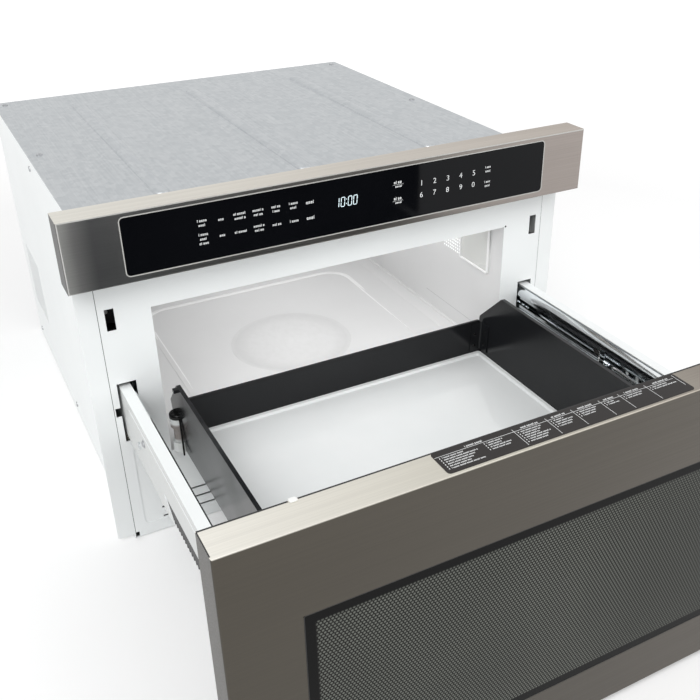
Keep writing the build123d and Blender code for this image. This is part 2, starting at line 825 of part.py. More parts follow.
with BuildPart() as fan_blade:
    disc(facing(fan_front), fan_axis, fan_hub_radius, -fan_depth)
    disc(facing(fan_front), fan_axis, fan_shaft_radius, fan_front - shroud_front + fan_motor_depth / 3)
    blade_root = fan_hub_radius - fan_blade_thickness
    for blade in range(fan_blades):
        turn = 360 * blade / fan_blades
        radial = (cos(radians(turn)), 0, sin(radians(turn)))
        root = Plane(origin=(fan_x + blade_root * radial[0], fan_front + fan_depth / 2,
                             fan_z + blade_root * radial[2]), x_dir=(0, 1, 0), z_dir=radial)
        with BuildSketch(root):
            Rectangle(fan_blade_chord, fan_blade_thickness, rotation=fan_blade_pitch)
        extrude(amount=fan_radius - blade_root)
save("fan_blade", fan_blade.part)

# ---------------------------------------------------------------- control panel
with BuildPart() as panel_bezel:
    brick((-panel_half_width, panel_half_width), (-panel_depth, 0), (panel_bottom, panel_top))
    panel_front_edges = panel_bezel.edges().group_by(Axis.Y)[0]
    fillet(panel_front_edges, panel_edge)
    brick((-panel_half_width + panel_sheet, panel_half_width - panel_sheet),
          (-panel_depth + panel_sheet, 0), (panel_bottom + panel_sheet, panel_top - panel_sheet),
          mode=Mode.SUBTRACT)
    with BuildSketch(facing(-panel_depth)):
        rectangle((-control_glass_half_width, control_glass_half_width),
                  (control_glass_low, control_glass_high), corner=control_glass_corner)
    extrude(amount=-panel_sheet, mode=Mode.SUBTRACT)
save("panel_bezel", panel_bezel.part)

with BuildPart() as control_glass:
    with BuildSketch(facing(control_glass_front)):
        rectangle((-control_glass_half_width + seat, control_glass_half_width - seat),
                  (control_glass_low + seat, control_glass_high - seat), corner=control_glass_corner)
    extrude(amount=-control_glass_thickness)
    chamfer(control_glass.edges().group_by(Axis.Y)[0], glass_bevel)
save("control_glass", control_glass.part)

with BuildPart() as panel_carrier:
    carrier_x = panel_half_width - panel_sheet - seat
    carrier_z = (panel_bottom + panel_sheet + seat, panel_top - panel_sheet - seat)
    brick((-carrier_x, carrier_x), (-carrier_thickness, 0), carrier_z)
    with BuildSketch(facing(-carrier_thickness)):
        ring_x = control_glass_half_width - 2 * control_glass_corner
        ring_z = (control_glass_low + 2 * control_glass_corner,
                  control_glass_high - 2 * control_glass_corner)
        rectangle((-ring_x, ring_x), ring_z)
        rectangle((-ring_x + carrier_wall, ring_x - carrier_wall),
                  (ring_z[0] + carrier_wall, ring_z[1] - carrier_wall), mode=Mode.SUBTRACT)
    extrude(amount=-carrier_thickness - control_glass_back)
save("panel_carrier", panel_carrier.part)

with BuildPart() as display_module:
    display_z = (control_glass_low + control_glass_high) / 2
    brick((display_x - display_half_width, display_x + display_half_width),
          (control_glass_back, -carrier_thickness),
          (display_z - display_half_height, display_z + display_half_height))
save("display_module", display_module.part)

with BuildPart() as control_board:
    brick((-board_half_width, board_half_width), (board_y, board_y + board_thickness),
          (board_low, board_high))
    for column in (-1, 1):
        for height in (board_low + board_margin, board_high - board_margin):
            disc(facing(board_y), (column * (board_half_width - board_margin), height),
                 board_post_radius, board_y - plate_sheet)
    with Locations((0, board_y + board_thickness + relay_size / 2, (board_low + board_high) / 2)):
        with GridLocations(relay_pitch, 1, relay_count, 1):
            Box(relay_size, relay_size, relay_size)
save("control_board", control_board.part)

# ---------------------------------------------------------------- drawer front
with BuildPart() as door_skin:
    brick((-door_half_width, door_half_width), (door_front, door_back), (door_bottom, door_top))
    fillet(door_skin.edges().group_by(Axis.Y)[0], door_edge)
    brick((-door_half_width + door_sheet, door_half_width - door_sheet),
          (door_front + door_sheet, door_back), (door_bottom + door_sheet, door_top - door_sheet),
          mode=Mode.SUBTRACT)
    brick((-door_glass_half_width, door_glass_half_width), (door_front, door_front + door_sheet),
          (door_glass_low, door_glass_high), mode=Mode.SUBTRACT)
save("door_skin", door_skin.part)

with BuildPart() as door_glass:
    brick((-door_glass_half_width + seat, door_glass_half_width - seat),
          (door_glass_front, door_glass_back), (door_glass_low + seat, door_glass_high - seat))
    chamfer(door_glass.edges().group_by(Axis.Y)[0], glass_bevel)
save("door_glass", door_glass.part)

with BuildPart() as door_frame:
    frame_x = door_half_width - door_sheet - seat
    frame_z = (door_bottom + door_sheet + seat, door_top - door_sheet - seat)
    pan_front = door_front + door_sheet + seat
    window_half_width = door_glass_half_width - door_window_side_margin
    window_x = (-window_half_width, window_half_width)
    window_z = (door_glass_low + door_window_margin_low, door_glass_high - door_glass_border)
    brick((-frame_x, frame_x), (pan_front, door_back), frame_z)
    brick((-frame_x + frame_sheet, frame_x - frame_sheet), (pan_front, door_back - frame_sheet),
          (frame_z[0] + frame_sheet, frame_z[1] - frame_sheet), mode=Mode.SUBTRACT)
    brick((window_x[0] - frame_sheet, window_x[1] + frame_sheet), (door_glass_back, door_back),
          (window_z[0] - frame_sheet, window_z[1] + frame_sheet))
    brick(window_x, (door_glass_back, door_back), window_z, mode=Mode.SUBTRACT)
save("door_frame", door_frame.part)

with BuildPart() as door_screen:
    brick((window_x[0] + seat, window_x[1] - seat), (door_back - screen_thickness, door_back),
          (window_z[0] + seat, window_z[1] - seat))
save("door_screen", door_screen.part)

with BuildPart() as choke_cover:
    choke_y = (door_back, door_back + choke_thickness)
    for margin, mode in ((choke_outer_margin, Mode.ADD), (choke_inner_margin, Mode.SUBTRACT)):
        brick((-cavity_half_width - margin, cavity_half_width + margin), choke_y,
              (cavity_floor - margin, cavity_roof + margin), mode=mode)
save("choke_cover", choke_cover.part)

with BuildPart() as menu_label:
    with BuildSketch(lying(door_top)):
        rectangle((label_left, label_right),
                  (door_front + label_front_inset, door_back - label_rear_inset),
                  corner=label_corner)
    extrude(amount=label_thickness)
save("menu_label", menu_label.part)

with BuildPart() as latch_hooks:
    hook_tip = plunger_tip - hook_gap - drawer_travel
    for side in SIDES.values():
        hook_x = (side * (latch_x - hook_width / 2), side * (latch_x + hook_width / 2))
        hook_z = (latch_z - hook_height / 2, latch_z + hook_height / 2)
        brick(hook_x, (door_back, hook_tip), hook_z)
        brick(hook_x, (hook_tip - hook_barb_length, hook_tip), (hook_z[1], hook_z[1] + hook_barb))
save("latch_hooks", latch_hooks.part)

# ---------------------------------------------------------------- basket
def between_walls(half_foot, y):
    """The space between two leaning faces of the basket, given half its width at the foot."""
    with BuildPart() as space:
        with BuildSketch(facing(y[0])):
            with BuildLine():
                Polyline((-half_foot, basket_bottom), (half_foot, basket_bottom),
                         (half_foot + wall_lean, wall_top), (-half_foot - wall_lean, wall_top),
                         close=True)
            make_face()
        extrude(amount=y[0] - y[1])
    return space.part


with BuildPart() as basket_wall:
    with BuildSketch(across(0)) as wall_outline:
        with BuildLine():
            Polyline((basket_front, basket_bottom), (wall_rear, basket_bottom),
                     (wall_rear, wall_top - wall_slope_drop), (wall_rear - wall_slope_run, wall_top),
                     (basket_front, wall_top), close=True)
        make_face()
        upper = wall_outline.vertices().sort_by(Axis.Y)[-3:]
        fillet(upper.sort_by(Axis.X)[-2:], wall_corner)
    extrude(amount=wall_outer + wall_lean)
    add(between_walls(wall_outer, (basket_front, wall_rear)), mode=Mode.INTERSECT)
    add(between_walls(wall_inner, (basket_front, wall_rear)), mode=Mode.SUBTRACT)
save("basket_wall_right", basket_wall.part)

with BuildPart() as basket_wall_with_tab:
    add(basket_wall.part)
    tab_rear = wall_rear - wall_slope_run - wall_corner
    brick((wall_outer, wall_outer + wall_lean + wall_tab_reach),
          (tab_rear - wall_tab_length, tab_rear), (wall_top - wall_tab_height, wall_top))
save("basket_wall_left", on_side(basket_wall_with_tab.part, SIDES["left"]))

with BuildPart() as basket_back_wall:
    back_x = wall_inner - seat
    with BuildSketch(facing(back_wall_face)) as back_outline:
        rectangle((-back_x, back_x), (basket_bottom, back_wall_top))
        fillet(back_outline.vertices().group_by(Axis.Y)[-1], wall_corner)
    extrude(amount=-back_wall_thickness)
save("basket_back_wall", basket_back_wall.part)

with BuildPart() as glass_tray:
    tray_x = (-wall_inner + seat, wall_inner - seat)
    tray_y = (basket_front, back_wall_face - seat)
    tray_top = basket_bottom + tray_rim_height
    brick(tray_x, tray_y, (basket_bottom, tray_top))
    fillet(glass_tray.edges().filter_by(Axis.Z), wall_corner)
    with BuildSketch(lying(tray_top)):
        rectangle((tray_x[0] + tray_rim_width, tray_x[1] - tray_rim_width),
                  (tray_y[0] + tray_rim_width, tray_y[1] - tray_rim_width), corner=wall_corner)
    extrude(amount=tray_floor - tray_rim_height, taper=tray_taper, mode=Mode.SUBTRACT)
save("glass_tray", glass_tray.part)

post_axis = (wall_outer + wall_lean / 2, post_y)
with BuildPart() as guide_post:
    disc(lying(basket_bottom), post_axis, post_radius, post_foot_height)
    disc(lying(basket_bottom), post_axis, post_neck, post_top - basket_bottom)
    disc(lying(post_top - post_dome_height), post_axis, post_radius, post_dome_height)
    add(between_walls(wall_outer, (post_y - post_radius, post_y + post_radius)),
        mode=Mode.SUBTRACT)
save("guide_posts", both_sides(guide_post.part))

with BuildPart() as guide_cap:
    disc(lying(post_top), post_axis, cap_radius, cap_height)
    fillet(guide_cap.edges().group_by(Axis.Z)[-1], cap_rounding)
    add(between_walls(wall_outer, (post_y - cap_radius, post_y + cap_radius)),
        mode=Mode.SUBTRACT)
save("guide_caps", both_sides(guide_cap.part))

# ---------------------------------------------------------------- slide rails and arms
with BuildPart() as rail_arm:
    arm_y = (arm_front, arm_rear)
    brick((arm_inner, arm_outer), arm_y, (arm_top - arm_sheet, arm_top))
    brick((arm_inner, arm_outer), (arm_front, arm_front + arm_sheet), (arm_shallow_bottom, arm_top))
    with BuildSketch(across(arm_web)):
        with BuildLine():
            Polyline((arm_front, arm_top), (arm_rear, arm_top), (arm_rear, arm_deep_bottom),
                     (arm_step_front, arm_deep_bottom), (arm_step_rear, arm_shallow_bottom),
                     (arm_front, arm_shallow_bottom), close=True)
        make_face()
    extrude(amount=arm_sheet)
    with BuildSketch(across(arm_outer)):
        rectangle((arm_front + arm_boss_inset, arm_boss_rear),
                  (arm_shallow_bottom + arm_boss_above, arm_top - arm_boss_below),
                  corner=arm_boss_inset)
    extrude(amount=arm_boss_height)
    for place in arm_screw_places:
        disc(across(arm_web), (place, arm_screw_z), screw_radius + seat, arm_sheet,
             mode=Mode.SUBTRACT)
for name, side in SIDES.items():
    save(f"rail_arm_{name}", on_side(rail_arm.part, side))

with BuildPart() as arm_screws:
    for side in SIDES.values():
        for place in arm_screw_places:
            disc(across(side * rail_web), (place, arm_screw_z), screw_radius,
                 side * (arm_outer - rail_web))
            disc(across(side * arm_outer), (place, arm_screw_z), screw_head_radius,
                 side * screw_head_height)
save("arm_screws", arm_screws.part)

with BuildPart() as rail_moving:
    add(channel(rail_inner, arm_web, rail_bottom, rail_top, rail_lip, rail_rounding,
                (rail_front, rail_rear)).part)
    for place in arm_screw_places:
        disc(across(rail_web), (place, arm_screw_z), screw_radius + seat, rail_sheet,
             mode=Mode.SUBTRACT)
    with BuildSketch(across(rail_web)):
        with Locations((rail_hole_y, rail_hole_z)):
            Circle(rail_hole_radius)
        with Locations((rail_hole_y - rail_hole_step, rail_hole_z)):
            SlotOverall(3 * rail_hole_radius, 2 * rail_hole_radius, rotation=90)
    extrude(amount=rail_sheet, mode=Mode.SUBTRACT)
for name, side in SIDES.items():
    save(f"rail_moving_{name}", on_side(rail_moving.part, side))

rail_mid = channel(mid_inner, mid_outer, mid_bottom, mid_top, mid_lip,
                   rail_rounding - rail_nesting, (mid_front, mid_front + mid_length))
rail_fixed = channel(fixed_inner, fixed_outer, fixed_bottom, fixed_top, fixed_lip,
                     rail_rounding - 2 * rail_nesting, (fixed_front, fixed_front + fixed_length))
for name, side in SIDES.items():
    save(f"rail_mid_{name}", on_side(rail_mid.part, side))
save("fixed_rails", both_sides(rail_fixed.part))

with BuildPart() as rail_bracket:
    bracket_y = (plate_sheet, bracket_rear)
    brick((bracket_seat, bracket_web + bracket_sheet), bracket_y, (bracket_low, bracket_high))
    brick((bracket_seat, bracket_web), bracket_y,
          (bracket_low + bracket_sheet, bracket_high - bracket_sheet), mode=Mode.SUBTRACT)
    for place in bracket_boss_places:
        disc(across(bracket_web + bracket_sheet), (place, rail_centre), bracket_boss_radius,
             fixed_outer - rail_sheet - bracket_web - bracket_sheet)
save("rail_brackets", both_sides(rail_bracket.part))

# ---------------------------------------------------------------- drawer drive
def rack_points(front, rear):
    """Outline of a rack with its teeth downwards, from its front to its rear end."""
    root = rack_pitch_line + tooth_dedendum * gear_module
    tip = rack_pitch_line - tooth_addendum * gear_module
    half_root = tooth_fullness * tooth_pitch + tooth_slope * tooth_dedendum * gear_module
    half_tip = tooth_fullness * tooth_pitch - tooth_slope * tooth_addendum * gear_module
    points = [(front, rail_bottom), (front, root)]
    first = int((front + half_root - gear_y) / tooth_pitch)
    last = int((rear - half_root - gear_y) / tooth_pitch)
    for tooth in range(first, last):
        centre = gear_y + (tooth + 0.5) * tooth_pitch
        points.append((centre - half_root, root))
        points.append((centre - half_tip, tip))
        points.append((centre + half_tip, tip))
        points.append((centre + half_root, root))
    points.append((rear, root))
    points.append((rear, rail_bottom))
    return points


with BuildPart() as drive_rack:
    with BuildSketch(across(gear_inner)):
        with BuildLine():
            Polyline(*rack_points(arm_front, arm_rear), close=True)
        make_face()
    extrude(amount=arm_web - gear_inner)
save("drive_racks", both_sides(drive_rack.part))

with BuildPart() as drive_shaft:
    disc(across(-gear_outer), (gear_y, gear_z), shaft_radius, 2 * gear_outer)
    for side in SIDES.values():
        gear_x = sorted((side * gear_inner, side * gear_outer))
        spur_gear(gear_radius, gear_teeth, 0, gear_x, gear_y, gear_z)
        disc(across(side * gear_inner), (gear_y, gear_z), gear_hub_radius,
             -side * hub_length)
save("drive_shaft", drive_shaft.part)

with BuildPart() as shaft_bracket:
    bracket_span = (gear_y - shaft_bracket_half_length, gear_y + shaft_bracket_half_length)
    upright_x = (shaft_bracket_outer - shaft_bracket_thickness, shaft_bracket_outer)
    brick(upright_x, bracket_span, (chassis_sheet, gear_z + gear_hub_radius))
    brick((shaft_bracket_outer - shaft_bracket_foot, shaft_bracket_outer), bracket_span,
          (chassis_sheet, chassis_sheet + shaft_bracket_thickness))
    disc(across(upright_x[0]), (gear_y, gear_z), shaft_radius + shaft_fit,
         shaft_bracket_thickness, mode=Mode.SUBTRACT)
save("shaft_brackets", both_sides(shaft_bracket.part))

with BuildPart() as drawer_motor:
    gearbox_y = (pinion_y - gearbox_half, pinion_y + gearbox_half)
    brick((-shaft_bracket_outer, -gearbox_inner), gearbox_y,
          (chassis_sheet, pinion_z + gearbox_half))
    fillet(drawer_motor.edges().filter_by(Axis.X).group_by(Axis.Z)[-1], gearbox_corner)
    disc(across(-gearbox_inner), (pinion_y, pinion_z), motor_radius, motor_length)
    disc(across(-shaft_bracket_outer), (pinion_y, pinion_z), pinion_shaft_radius + shaft_fit,
         pinion_shaft_depth, mode=Mode.SUBTRACT)
save("drawer_motor", drawer_motor.part)

with BuildPart() as motor_pinion:
    spur_gear(pinion_radius, pinion_teeth, pi / pinion_teeth, (-gear_outer, -gear_inner),
              pinion_y, pinion_z)
    disc(across(-gear_outer), (pinion_y, pinion_z), pinion_shaft_radius,
         gear_outer - shaft_bracket_outer + pinion_shaft_depth)
save("motor_pinion", motor_pinion.part)

# ---------------------------------------------------------------- interlock switches
with BuildPart() as interlock_switches:
    for side in SIDES.values():
        switch_x = (side * (latch_x - switch_width / 2), side * (latch_x + switch_width / 2))
        brick(switch_x, (switch_front, switch_front + switch_depth),
              (latch_z - switch_height / 2, latch_z + switch_height / 2 + switch_foot))
        brick(switch_x, (plate_sheet, switch_front),
              (latch_z + switch_height / 2, latch_z + switch_height / 2 + switch_foot))
        disc(facing(switch_front), (side * latch_x, latch_z), plunger_radius + shaft_fit,
             -plunger_length, mode=Mode.SUBTRACT)
save("interlock_switches", interlock_switches.part)

with BuildPart() as switch_plunger:
    disc(facing(plunger_tip), (latch_x, latch_z), plunger_radius, -plunger_length)
    fillet(switch_plunger.edges().group_by(Axis.Y)[0], plunger_radius / 2)
for name, side in SIDES.items():
    save(f"switch_plunger_{name}", on_side(switch_plunger.part, side))
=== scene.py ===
"""Looks of a built-in microwave drawer, 24 inch class, shown with its drawer fully out.

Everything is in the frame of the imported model: +X to the user's right, +Y into the
cabinet, +Z up, the origin at the bottom edge of the white front plate. Shapes are in
millimetres until Shape.become(). Finishes, camera and lamps are in metres.
"""

import bmesh
import bpy
import json
from math import cos, hypot, pi, radians, sin
from mathutils import Matrix, Vector


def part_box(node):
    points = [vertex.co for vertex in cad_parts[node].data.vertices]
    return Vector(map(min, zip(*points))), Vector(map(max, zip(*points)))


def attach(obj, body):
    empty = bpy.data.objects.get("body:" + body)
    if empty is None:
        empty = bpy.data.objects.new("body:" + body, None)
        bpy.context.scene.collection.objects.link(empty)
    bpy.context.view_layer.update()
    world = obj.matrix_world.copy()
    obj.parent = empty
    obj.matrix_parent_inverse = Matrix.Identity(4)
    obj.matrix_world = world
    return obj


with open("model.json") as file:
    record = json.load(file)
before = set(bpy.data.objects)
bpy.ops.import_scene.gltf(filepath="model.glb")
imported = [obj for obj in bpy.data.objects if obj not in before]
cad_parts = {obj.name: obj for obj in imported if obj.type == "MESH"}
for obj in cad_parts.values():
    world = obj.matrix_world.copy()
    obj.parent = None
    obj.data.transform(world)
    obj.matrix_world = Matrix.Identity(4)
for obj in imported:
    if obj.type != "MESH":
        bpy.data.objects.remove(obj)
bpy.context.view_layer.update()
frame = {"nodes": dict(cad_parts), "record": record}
nodes = frame["nodes"]

MM = 0.001
SIDES = {"left": -1, "right": 1}
INK = 0.03                # thickness of a print
HAIR = 0.02               # keeps a face of a trim out of the plane of the face beside it
AXES = {"x": (1, 0, 0), "y": (0, 1, 0), "z": (0, 0, 1)}


def span(node):
    """The lowest and the highest corner of a CAD node, in millimetres."""
    low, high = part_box(node)
    return low / MM, high / MM


def in_scene(name, data):
    """A new object, linked into the scene."""
    made = bpy.data.objects.new(name, data)
    bpy.context.collection.objects.link(made)
    return made


# ---------------- helpers: finishes
def srgb(red, green, blue):
    """A colour written as 0 to 255 display values, as the shader wants it."""
    linear = []
    for value in (red, green, blue):
        level = value / 255
        linear.append(level / 12.92 if level <= 0.04045 else ((level + 0.055) / 1.055) ** 2.4)
    return (*linear, 1.0)


class Finish:
    """A procedural material: one principled shader and the nodes that feed it."""

    def __init__(self, name, **sockets):
        self.material = bpy.data.materials.new(name)
        self.material.use_nodes = True
        self.tree = self.material.node_tree
        self.tree.nodes.clear()
        self.shader = self.tree.nodes.new("ShaderNodeBsdfPrincipled")
        output = self.tree.nodes.new("ShaderNodeOutputMaterial")
        self.tree.links.new(self.shader.outputs["BSDF"], output.inputs["Surface"])
        for socket, value in sockets.items():
            self.shader.inputs[socket.replace("_", " ")].default_value = value
        self.place = self.node("ShaderNodeTexCoord").outputs["Object"]

    def node(self, kind, inputs=(), **settings):
        """A new node with some of its settings, and what feeds its inputs."""
        made = self.tree.nodes.new(kind)
        for setting, value in settings.items():
            setattr(made, setting, value)
        for socket, source in dict(inputs).items():
            self.feed(made.inputs[socket], source)
        return made

    def feed(self, socket, source):
        """Connect a node's output, or set a plain value."""
        if isinstance(source, bpy.types.NodeSocket):
            self.tree.links.new(source, socket)
        else:
            socket.default_value = source

    def math(self, operation, a, b=0.0):
        """One arithmetic step on two numbers."""
        return self.node("ShaderNodeMath", {0: a, 1: b}, operation=operation).outputs[0]

    def stretched(self, scale):
        """The object's own coordinates, scaled separately along each axis."""
        return self.node("ShaderNodeMapping", {"Vector": self.place, "Scale": scale}).outputs[0]

    def noise(self, scale, detail=3.0, roughness=0.5):
        """Soft noise with its own number of blobs per metre along each axis."""
        made = self.node("ShaderNodeTexNoise", {"Vector": self.stretched(scale), "Scale": 1.0,
                                                "Detail": detail, "Roughness": roughness})
        return made.outputs["Fac"]

    def spread(self, value, low, high, to_low=0.0, to_high=1.0):
        """A number carried from one range to another, and held there."""
        made = self.node("ShaderNodeMapRange", {"Value": value, "From Min": low, "From Max": high,
                                                "To Min": to_low, "To Max": to_high})
        return made.outputs[0]

    def axis(self, letter):
        """The place along one axis of the object, in metres."""
        return self.node("ShaderNodeSeparateXYZ", {0: self.place}).outputs["XYZ".index(letter)]

    def facing(self, letter):
        """How far the surface faces along one axis, from -1 to 1."""
        normal = self.node("ShaderNodeTexCoord").outputs["Normal"]
        return self.node("ShaderNodeSeparateXYZ", {0: normal}).outputs["XYZ".index(letter)]

    def mix(self, amount, a, b):
        """One colour turning into another."""
        made = self.node("ShaderNodeMix", {"Factor": amount, 6: a, 7: b}, data_type="RGBA")
        return made.outputs[2]

    def ramp(self, value, stops):
        """A colour read off a row of (place, colour) stops, places from 0 to 1."""
        made = self.node("ShaderNodeValToRGB", {0: value})
        colours = made.color_ramp.elements
        colours.remove(colours[0])
        colours[0].position, colours[0].color = stops[0]
        for place, colour in stops[1:]:
            colours.new(place).color = colour
        return made.outputs[0]

    def colour(self, source):
        self.feed(self.shader.inputs["Base Color"], source)

    def roughness(self, source):
        self.feed(self.shader.inputs["Roughness"], source)

    def bump(self, height, depth, strength=1.0):
        """Relief from a height of 0 to 1, as deep as given in metres."""
        made = self.node("ShaderNodeBump", {"Strength": strength, "Distance": depth,
                                            "Height": height})
        self.feed(self.shader.inputs["Normal"], made.outputs[0])


# ---------------- finishes
def brushed_steel(name, front, top, end=0.0, grain=(4, 900, 900), roughness=0.34, **sockets):
    """Brushed steel with painted light. front and top are rows of painted tones from the left end
    to the right one: a painted sheen along the width, and faces that look up painted lighter.

    end says how much darker the ends are painted than the front, as painted shade.
    """
    finish = Finish(name, Metallic=1.0, **sockets)
    low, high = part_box("panel_bezel")
    # Painted light: a painted sheen along the width, a lighter painted tone on faces that look up,
    # painted shade on the ends.
    across = finish.spread(finish.axis("X"), low.x, high.x)
    upward = finish.spread(finish.facing("Z"), 0.35, 0.85)
    tone = finish.mix(upward, finish.ramp(across, front), finish.ramp(across, top))
    painted_side_shade = finish.spread(finish.math("ABSOLUTE", finish.facing("X")), 0.6, 0.95, 0.0, end)
    tone = finish.mix(painted_side_shade, tone, srgb(14, 14, 13))
    fine = finish.noise(grain, detail=4, roughness=0.65)
    soft = finish.noise((6, 30, 30), detail=2)
    shade = finish.math("ADD", finish.spread(fine, 0.3, 0.7, 0.0, 0.12),
                        finish.spread(soft, 0.3, 0.7, 0.0, 0.05))
    finish.colour(finish.mix(shade, tone, srgb(60, 57, 54)))
    finish.roughness(finish.spread(fine, 0.25, 0.75, roughness - 0.05, roughness + 0.08))
    finish.bump(fine, 0.00002, 0.2)
    return finish


def painted(name, colour, shaded, roughness=0.38, peel=160, painted_side_shade=None, **sockets):
    """Sprayed or enamelled sheet with a faint orange peel.

    The faces that look to the left or the right can be given a darker colour of their own, as painted
    shade.
    """
    finish = Finish(name, **sockets)
    cloud = finish.noise((7, 7, 7), detail=3)
    tone = finish.mix(finish.spread(cloud, 0.35, 0.75), colour, shaded)
    # Painted shade on the faces turned to the left or the right.
    if painted_side_shade:
        side = finish.spread(finish.math("ABSOLUTE", finish.facing("X")), 0.5, 0.9)
        tone = finish.mix(side, tone, painted_side_shade)
    finish.colour(tone)
    skin = finish.noise((peel, peel, peel), detail=1)
    finish.roughness(finish.spread(skin, 0.2, 0.8, roughness - 0.05, roughness + 0.05))
    finish.bump(skin, 0.00003, 0.05)
    return finish


def moulded(name, colour, shaded, roughness=0.5, grain=1500, depth=0.00003, **sockets):
    """Moulded plastic with a fine grain."""
    finish = Finish(name, **sockets)
    specks = finish.noise((grain, grain, grain), detail=3)
    cloud = finish.noise((12, 12, 12), detail=2)
    finish.colour(finish.mix(finish.spread(cloud, 0.3, 0.7), colour, shaded))
    finish.roughness(finish.spread(specks, 0.3, 0.7, roughness - 0.07, roughness + 0.07))
    finish.bump(specks, depth, 0.3)
    return finish


def plated(name, bright, dull, roughness=0.3, spangle=60, drawn=(500, 8, 500), metal=1.0,
           relief=0.15, **sockets):
    """Zinc-plated or galvanised sheet with its patchy crystals and rolling lines."""
    finish = Finish(name, Metallic=metal, **sockets)
    place = finish.stretched((spangle, spangle * 0.7, spangle))
    cells = finish.node("ShaderNodeTexVoronoi", {"Vector": place, "Scale": 1.0, "Randomness": 1.0})
    value = finish.node("ShaderNodeSeparateColor", {0: cells.outputs["Color"]})
    rolled = finish.noise(drawn, detail=3)
    patch = finish.math("ADD", finish.math("MULTIPLY", value.outputs[0], 0.45),
                        finish.spread(rolled, 0.3, 0.7, 0.0, 0.45))
    finish.colour(finish.mix(patch, bright, dull))
    finish.roughness(finish.spread(patch, 0.0, 1.0, roughness - 0.06, roughness + 0.12))
    finish.bump(rolled, 0.00001, relief)
    return finish


def polished(name, colour, roughness=0.06, **sockets):
    """Glass, glaze or lacquer: almost flat, with a faint smear in its gloss."""
    finish = Finish(name, **sockets)
    smear = finish.noise((9, 9, 9), detail=4)
    finish.colour(finish.mix(finish.spread(smear, 0.35, 0.7), colour[0], colour[1]))
    finish.roughness(finish.spread(smear, 0.3, 0.7, roughness * 0.6, roughness * 1.5))
    ripple = finish.noise((35, 35, 35), detail=1)
    finish.bump(ripple, 0.00002, 0.2)
    return finish


def screened_glass(name, pane, border, pitch, hole):
    """Dark glass on a black border, with the pale holes of a perforated screen behind it, painted
    darker towards its right end as painted shade.
    """
    finish = Finish(name, Roughness=0.07, Specular_IOR_Level=0.08)
    low, high = pane
    middle = (low + high) / 2
    half = (high - low) / 2 - Vector((border, 0, border))
    inside = 1.0
    for letter, centre, reach in (("X", middle.x, half.x), ("Z", middle.z, half.z)):
        away = finish.math("ABSOLUTE", finish.math("SUBTRACT", finish.axis(letter), centre))
        part = finish.spread(away, reach - hole / 2, reach + hole / 2, 1.0, 0.0)
        inside = finish.math("MULTIPLY", part, inside)
    nearest = pitch
    row = pitch * 3 ** 0.5
    whole = 100.0         # keeps the count of cells positive left of the centre line
    for shift in (0.0, 0.5):
        steps = []
        for letter, size in (("X", pitch), ("Z", row)):
            cell = finish.math("ADD", finish.math("DIVIDE", finish.axis(letter), size), whole + shift)
            offset = finish.math("SUBTRACT", finish.math("FRACT", cell), 0.5)
            steps.append(finish.math("POWER", finish.math("MULTIPLY", offset, size), 2.0))
        distance = finish.math("SQRT", finish.math("ADD", *steps))
        nearest = finish.math("MINIMUM", distance, nearest)
    dots = finish.spread(nearest, hole * 0.4, hole * 0.62, 1.0, 0.0)
    cloud = finish.noise((6, 6, 6), detail=2)
    pale = finish.mix(finish.spread(cloud, 0.3, 0.7), srgb(108, 110, 104), srgb(92, 94, 89))
    screen = finish.mix(dots, srgb(27, 28, 26), pale)
    # Painted shade: the screen darkens towards its right end.
    faded = finish.mix(finish.spread(finish.axis("X"), middle.x, high.x, 0.0, 0.75), screen,
                       srgb(46, 47, 44))
    finish.colour(finish.mix(inside, srgb(9, 9, 9), faded))
    ripple = finish.noise((35, 35, 35), detail=1)
    finish.bump(ripple, 0.00002, 0.2)
    return finish


def glowing(name, colour, strength):
    """A surface that gives light, with a faint cloud in the colour under it."""
    finish = Finish(name, Roughness=0.5)
    cloud = finish.noise((60, 60, 60), detail=2)
    finish.colour(finish.mix(finish.spread(cloud, 0.3, 0.7), colour, srgb(205, 222, 228)))
    finish.shader.inputs["Emission Color"].default_value = colour
    finish.shader.inputs["Emission Strength"].default_value = strength
    return finish


def banded_post(name):
    """The guide posts' plastic: white at the foot and the top, with a band of painted shade on the
    neck between.
    """
    finish = Finish(name, Specular_IOR_Level=0.4)
    low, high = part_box("guide_posts")
    height = finish.spread(finish.axis("Z"), low.z, high.z)
    white, neck_shade = srgb(226, 230, 229), srgb(132, 124, 120)
    # Painted shade on the neck, under the cap.
    bands = finish.ramp(height, ((0.0, white), (0.3, white), (0.38, neck_shade), (0.8, neck_shade),
                                 (0.86, white), (1.0, white)))
    cloud = finish.noise((60, 60, 30), detail=2)
    finish.colour(finish.mix(finish.spread(cloud, 0.3, 0.8, 0.0, 0.25), bands, srgb(170, 168, 166)))
    finish.roughness(finish.spread(cloud, 0.3, 0.7, 0.16, 0.3))
    return finish


def domed_cover(name):
    """The stirrer's mica cover: its colour darkens softly towards the rim, painted shade of a low
    dome.
    """
    finish = Finish(name, Specular_IOR_Level=0.4)
    low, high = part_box("stirrer_cover")
    middle = (low + high) / 2
    squares = []
    for letter, centre in (("X", middle.x), ("Y", middle.y)):
        offset = finish.math("SUBTRACT", finish.axis(letter), centre)
        squares.append(finish.math("POWER", finish.math("ABSOLUTE", offset), 2.0))
    away = finish.math("SQRT", finish.math("ADD", *squares))
    place = finish.spread(away, 0.0, high.x - middle.x)
    # Painted shade: darker towards the rim, as on a low dome.
    tone = finish.ramp(place, ((0.0, srgb(229, 229, 229)), (0.7, srgb(224, 224, 224)),
                               (0.92, srgb(215, 215, 215)), (1.0, srgb(221, 221, 221))))
    flakes = finish.noise((140, 90, 140), detail=3)
    finish.colour(finish.mix(finish.spread(flakes, 0.4, 0.8, 0.0, 0.2), tone, srgb(206, 206, 204)))
    finish.roughness(finish.spread(flakes, 0.3, 0.7, 0.38, 0.5))
    finish.bump(flakes, 0.00003, 0.1)
    return finish


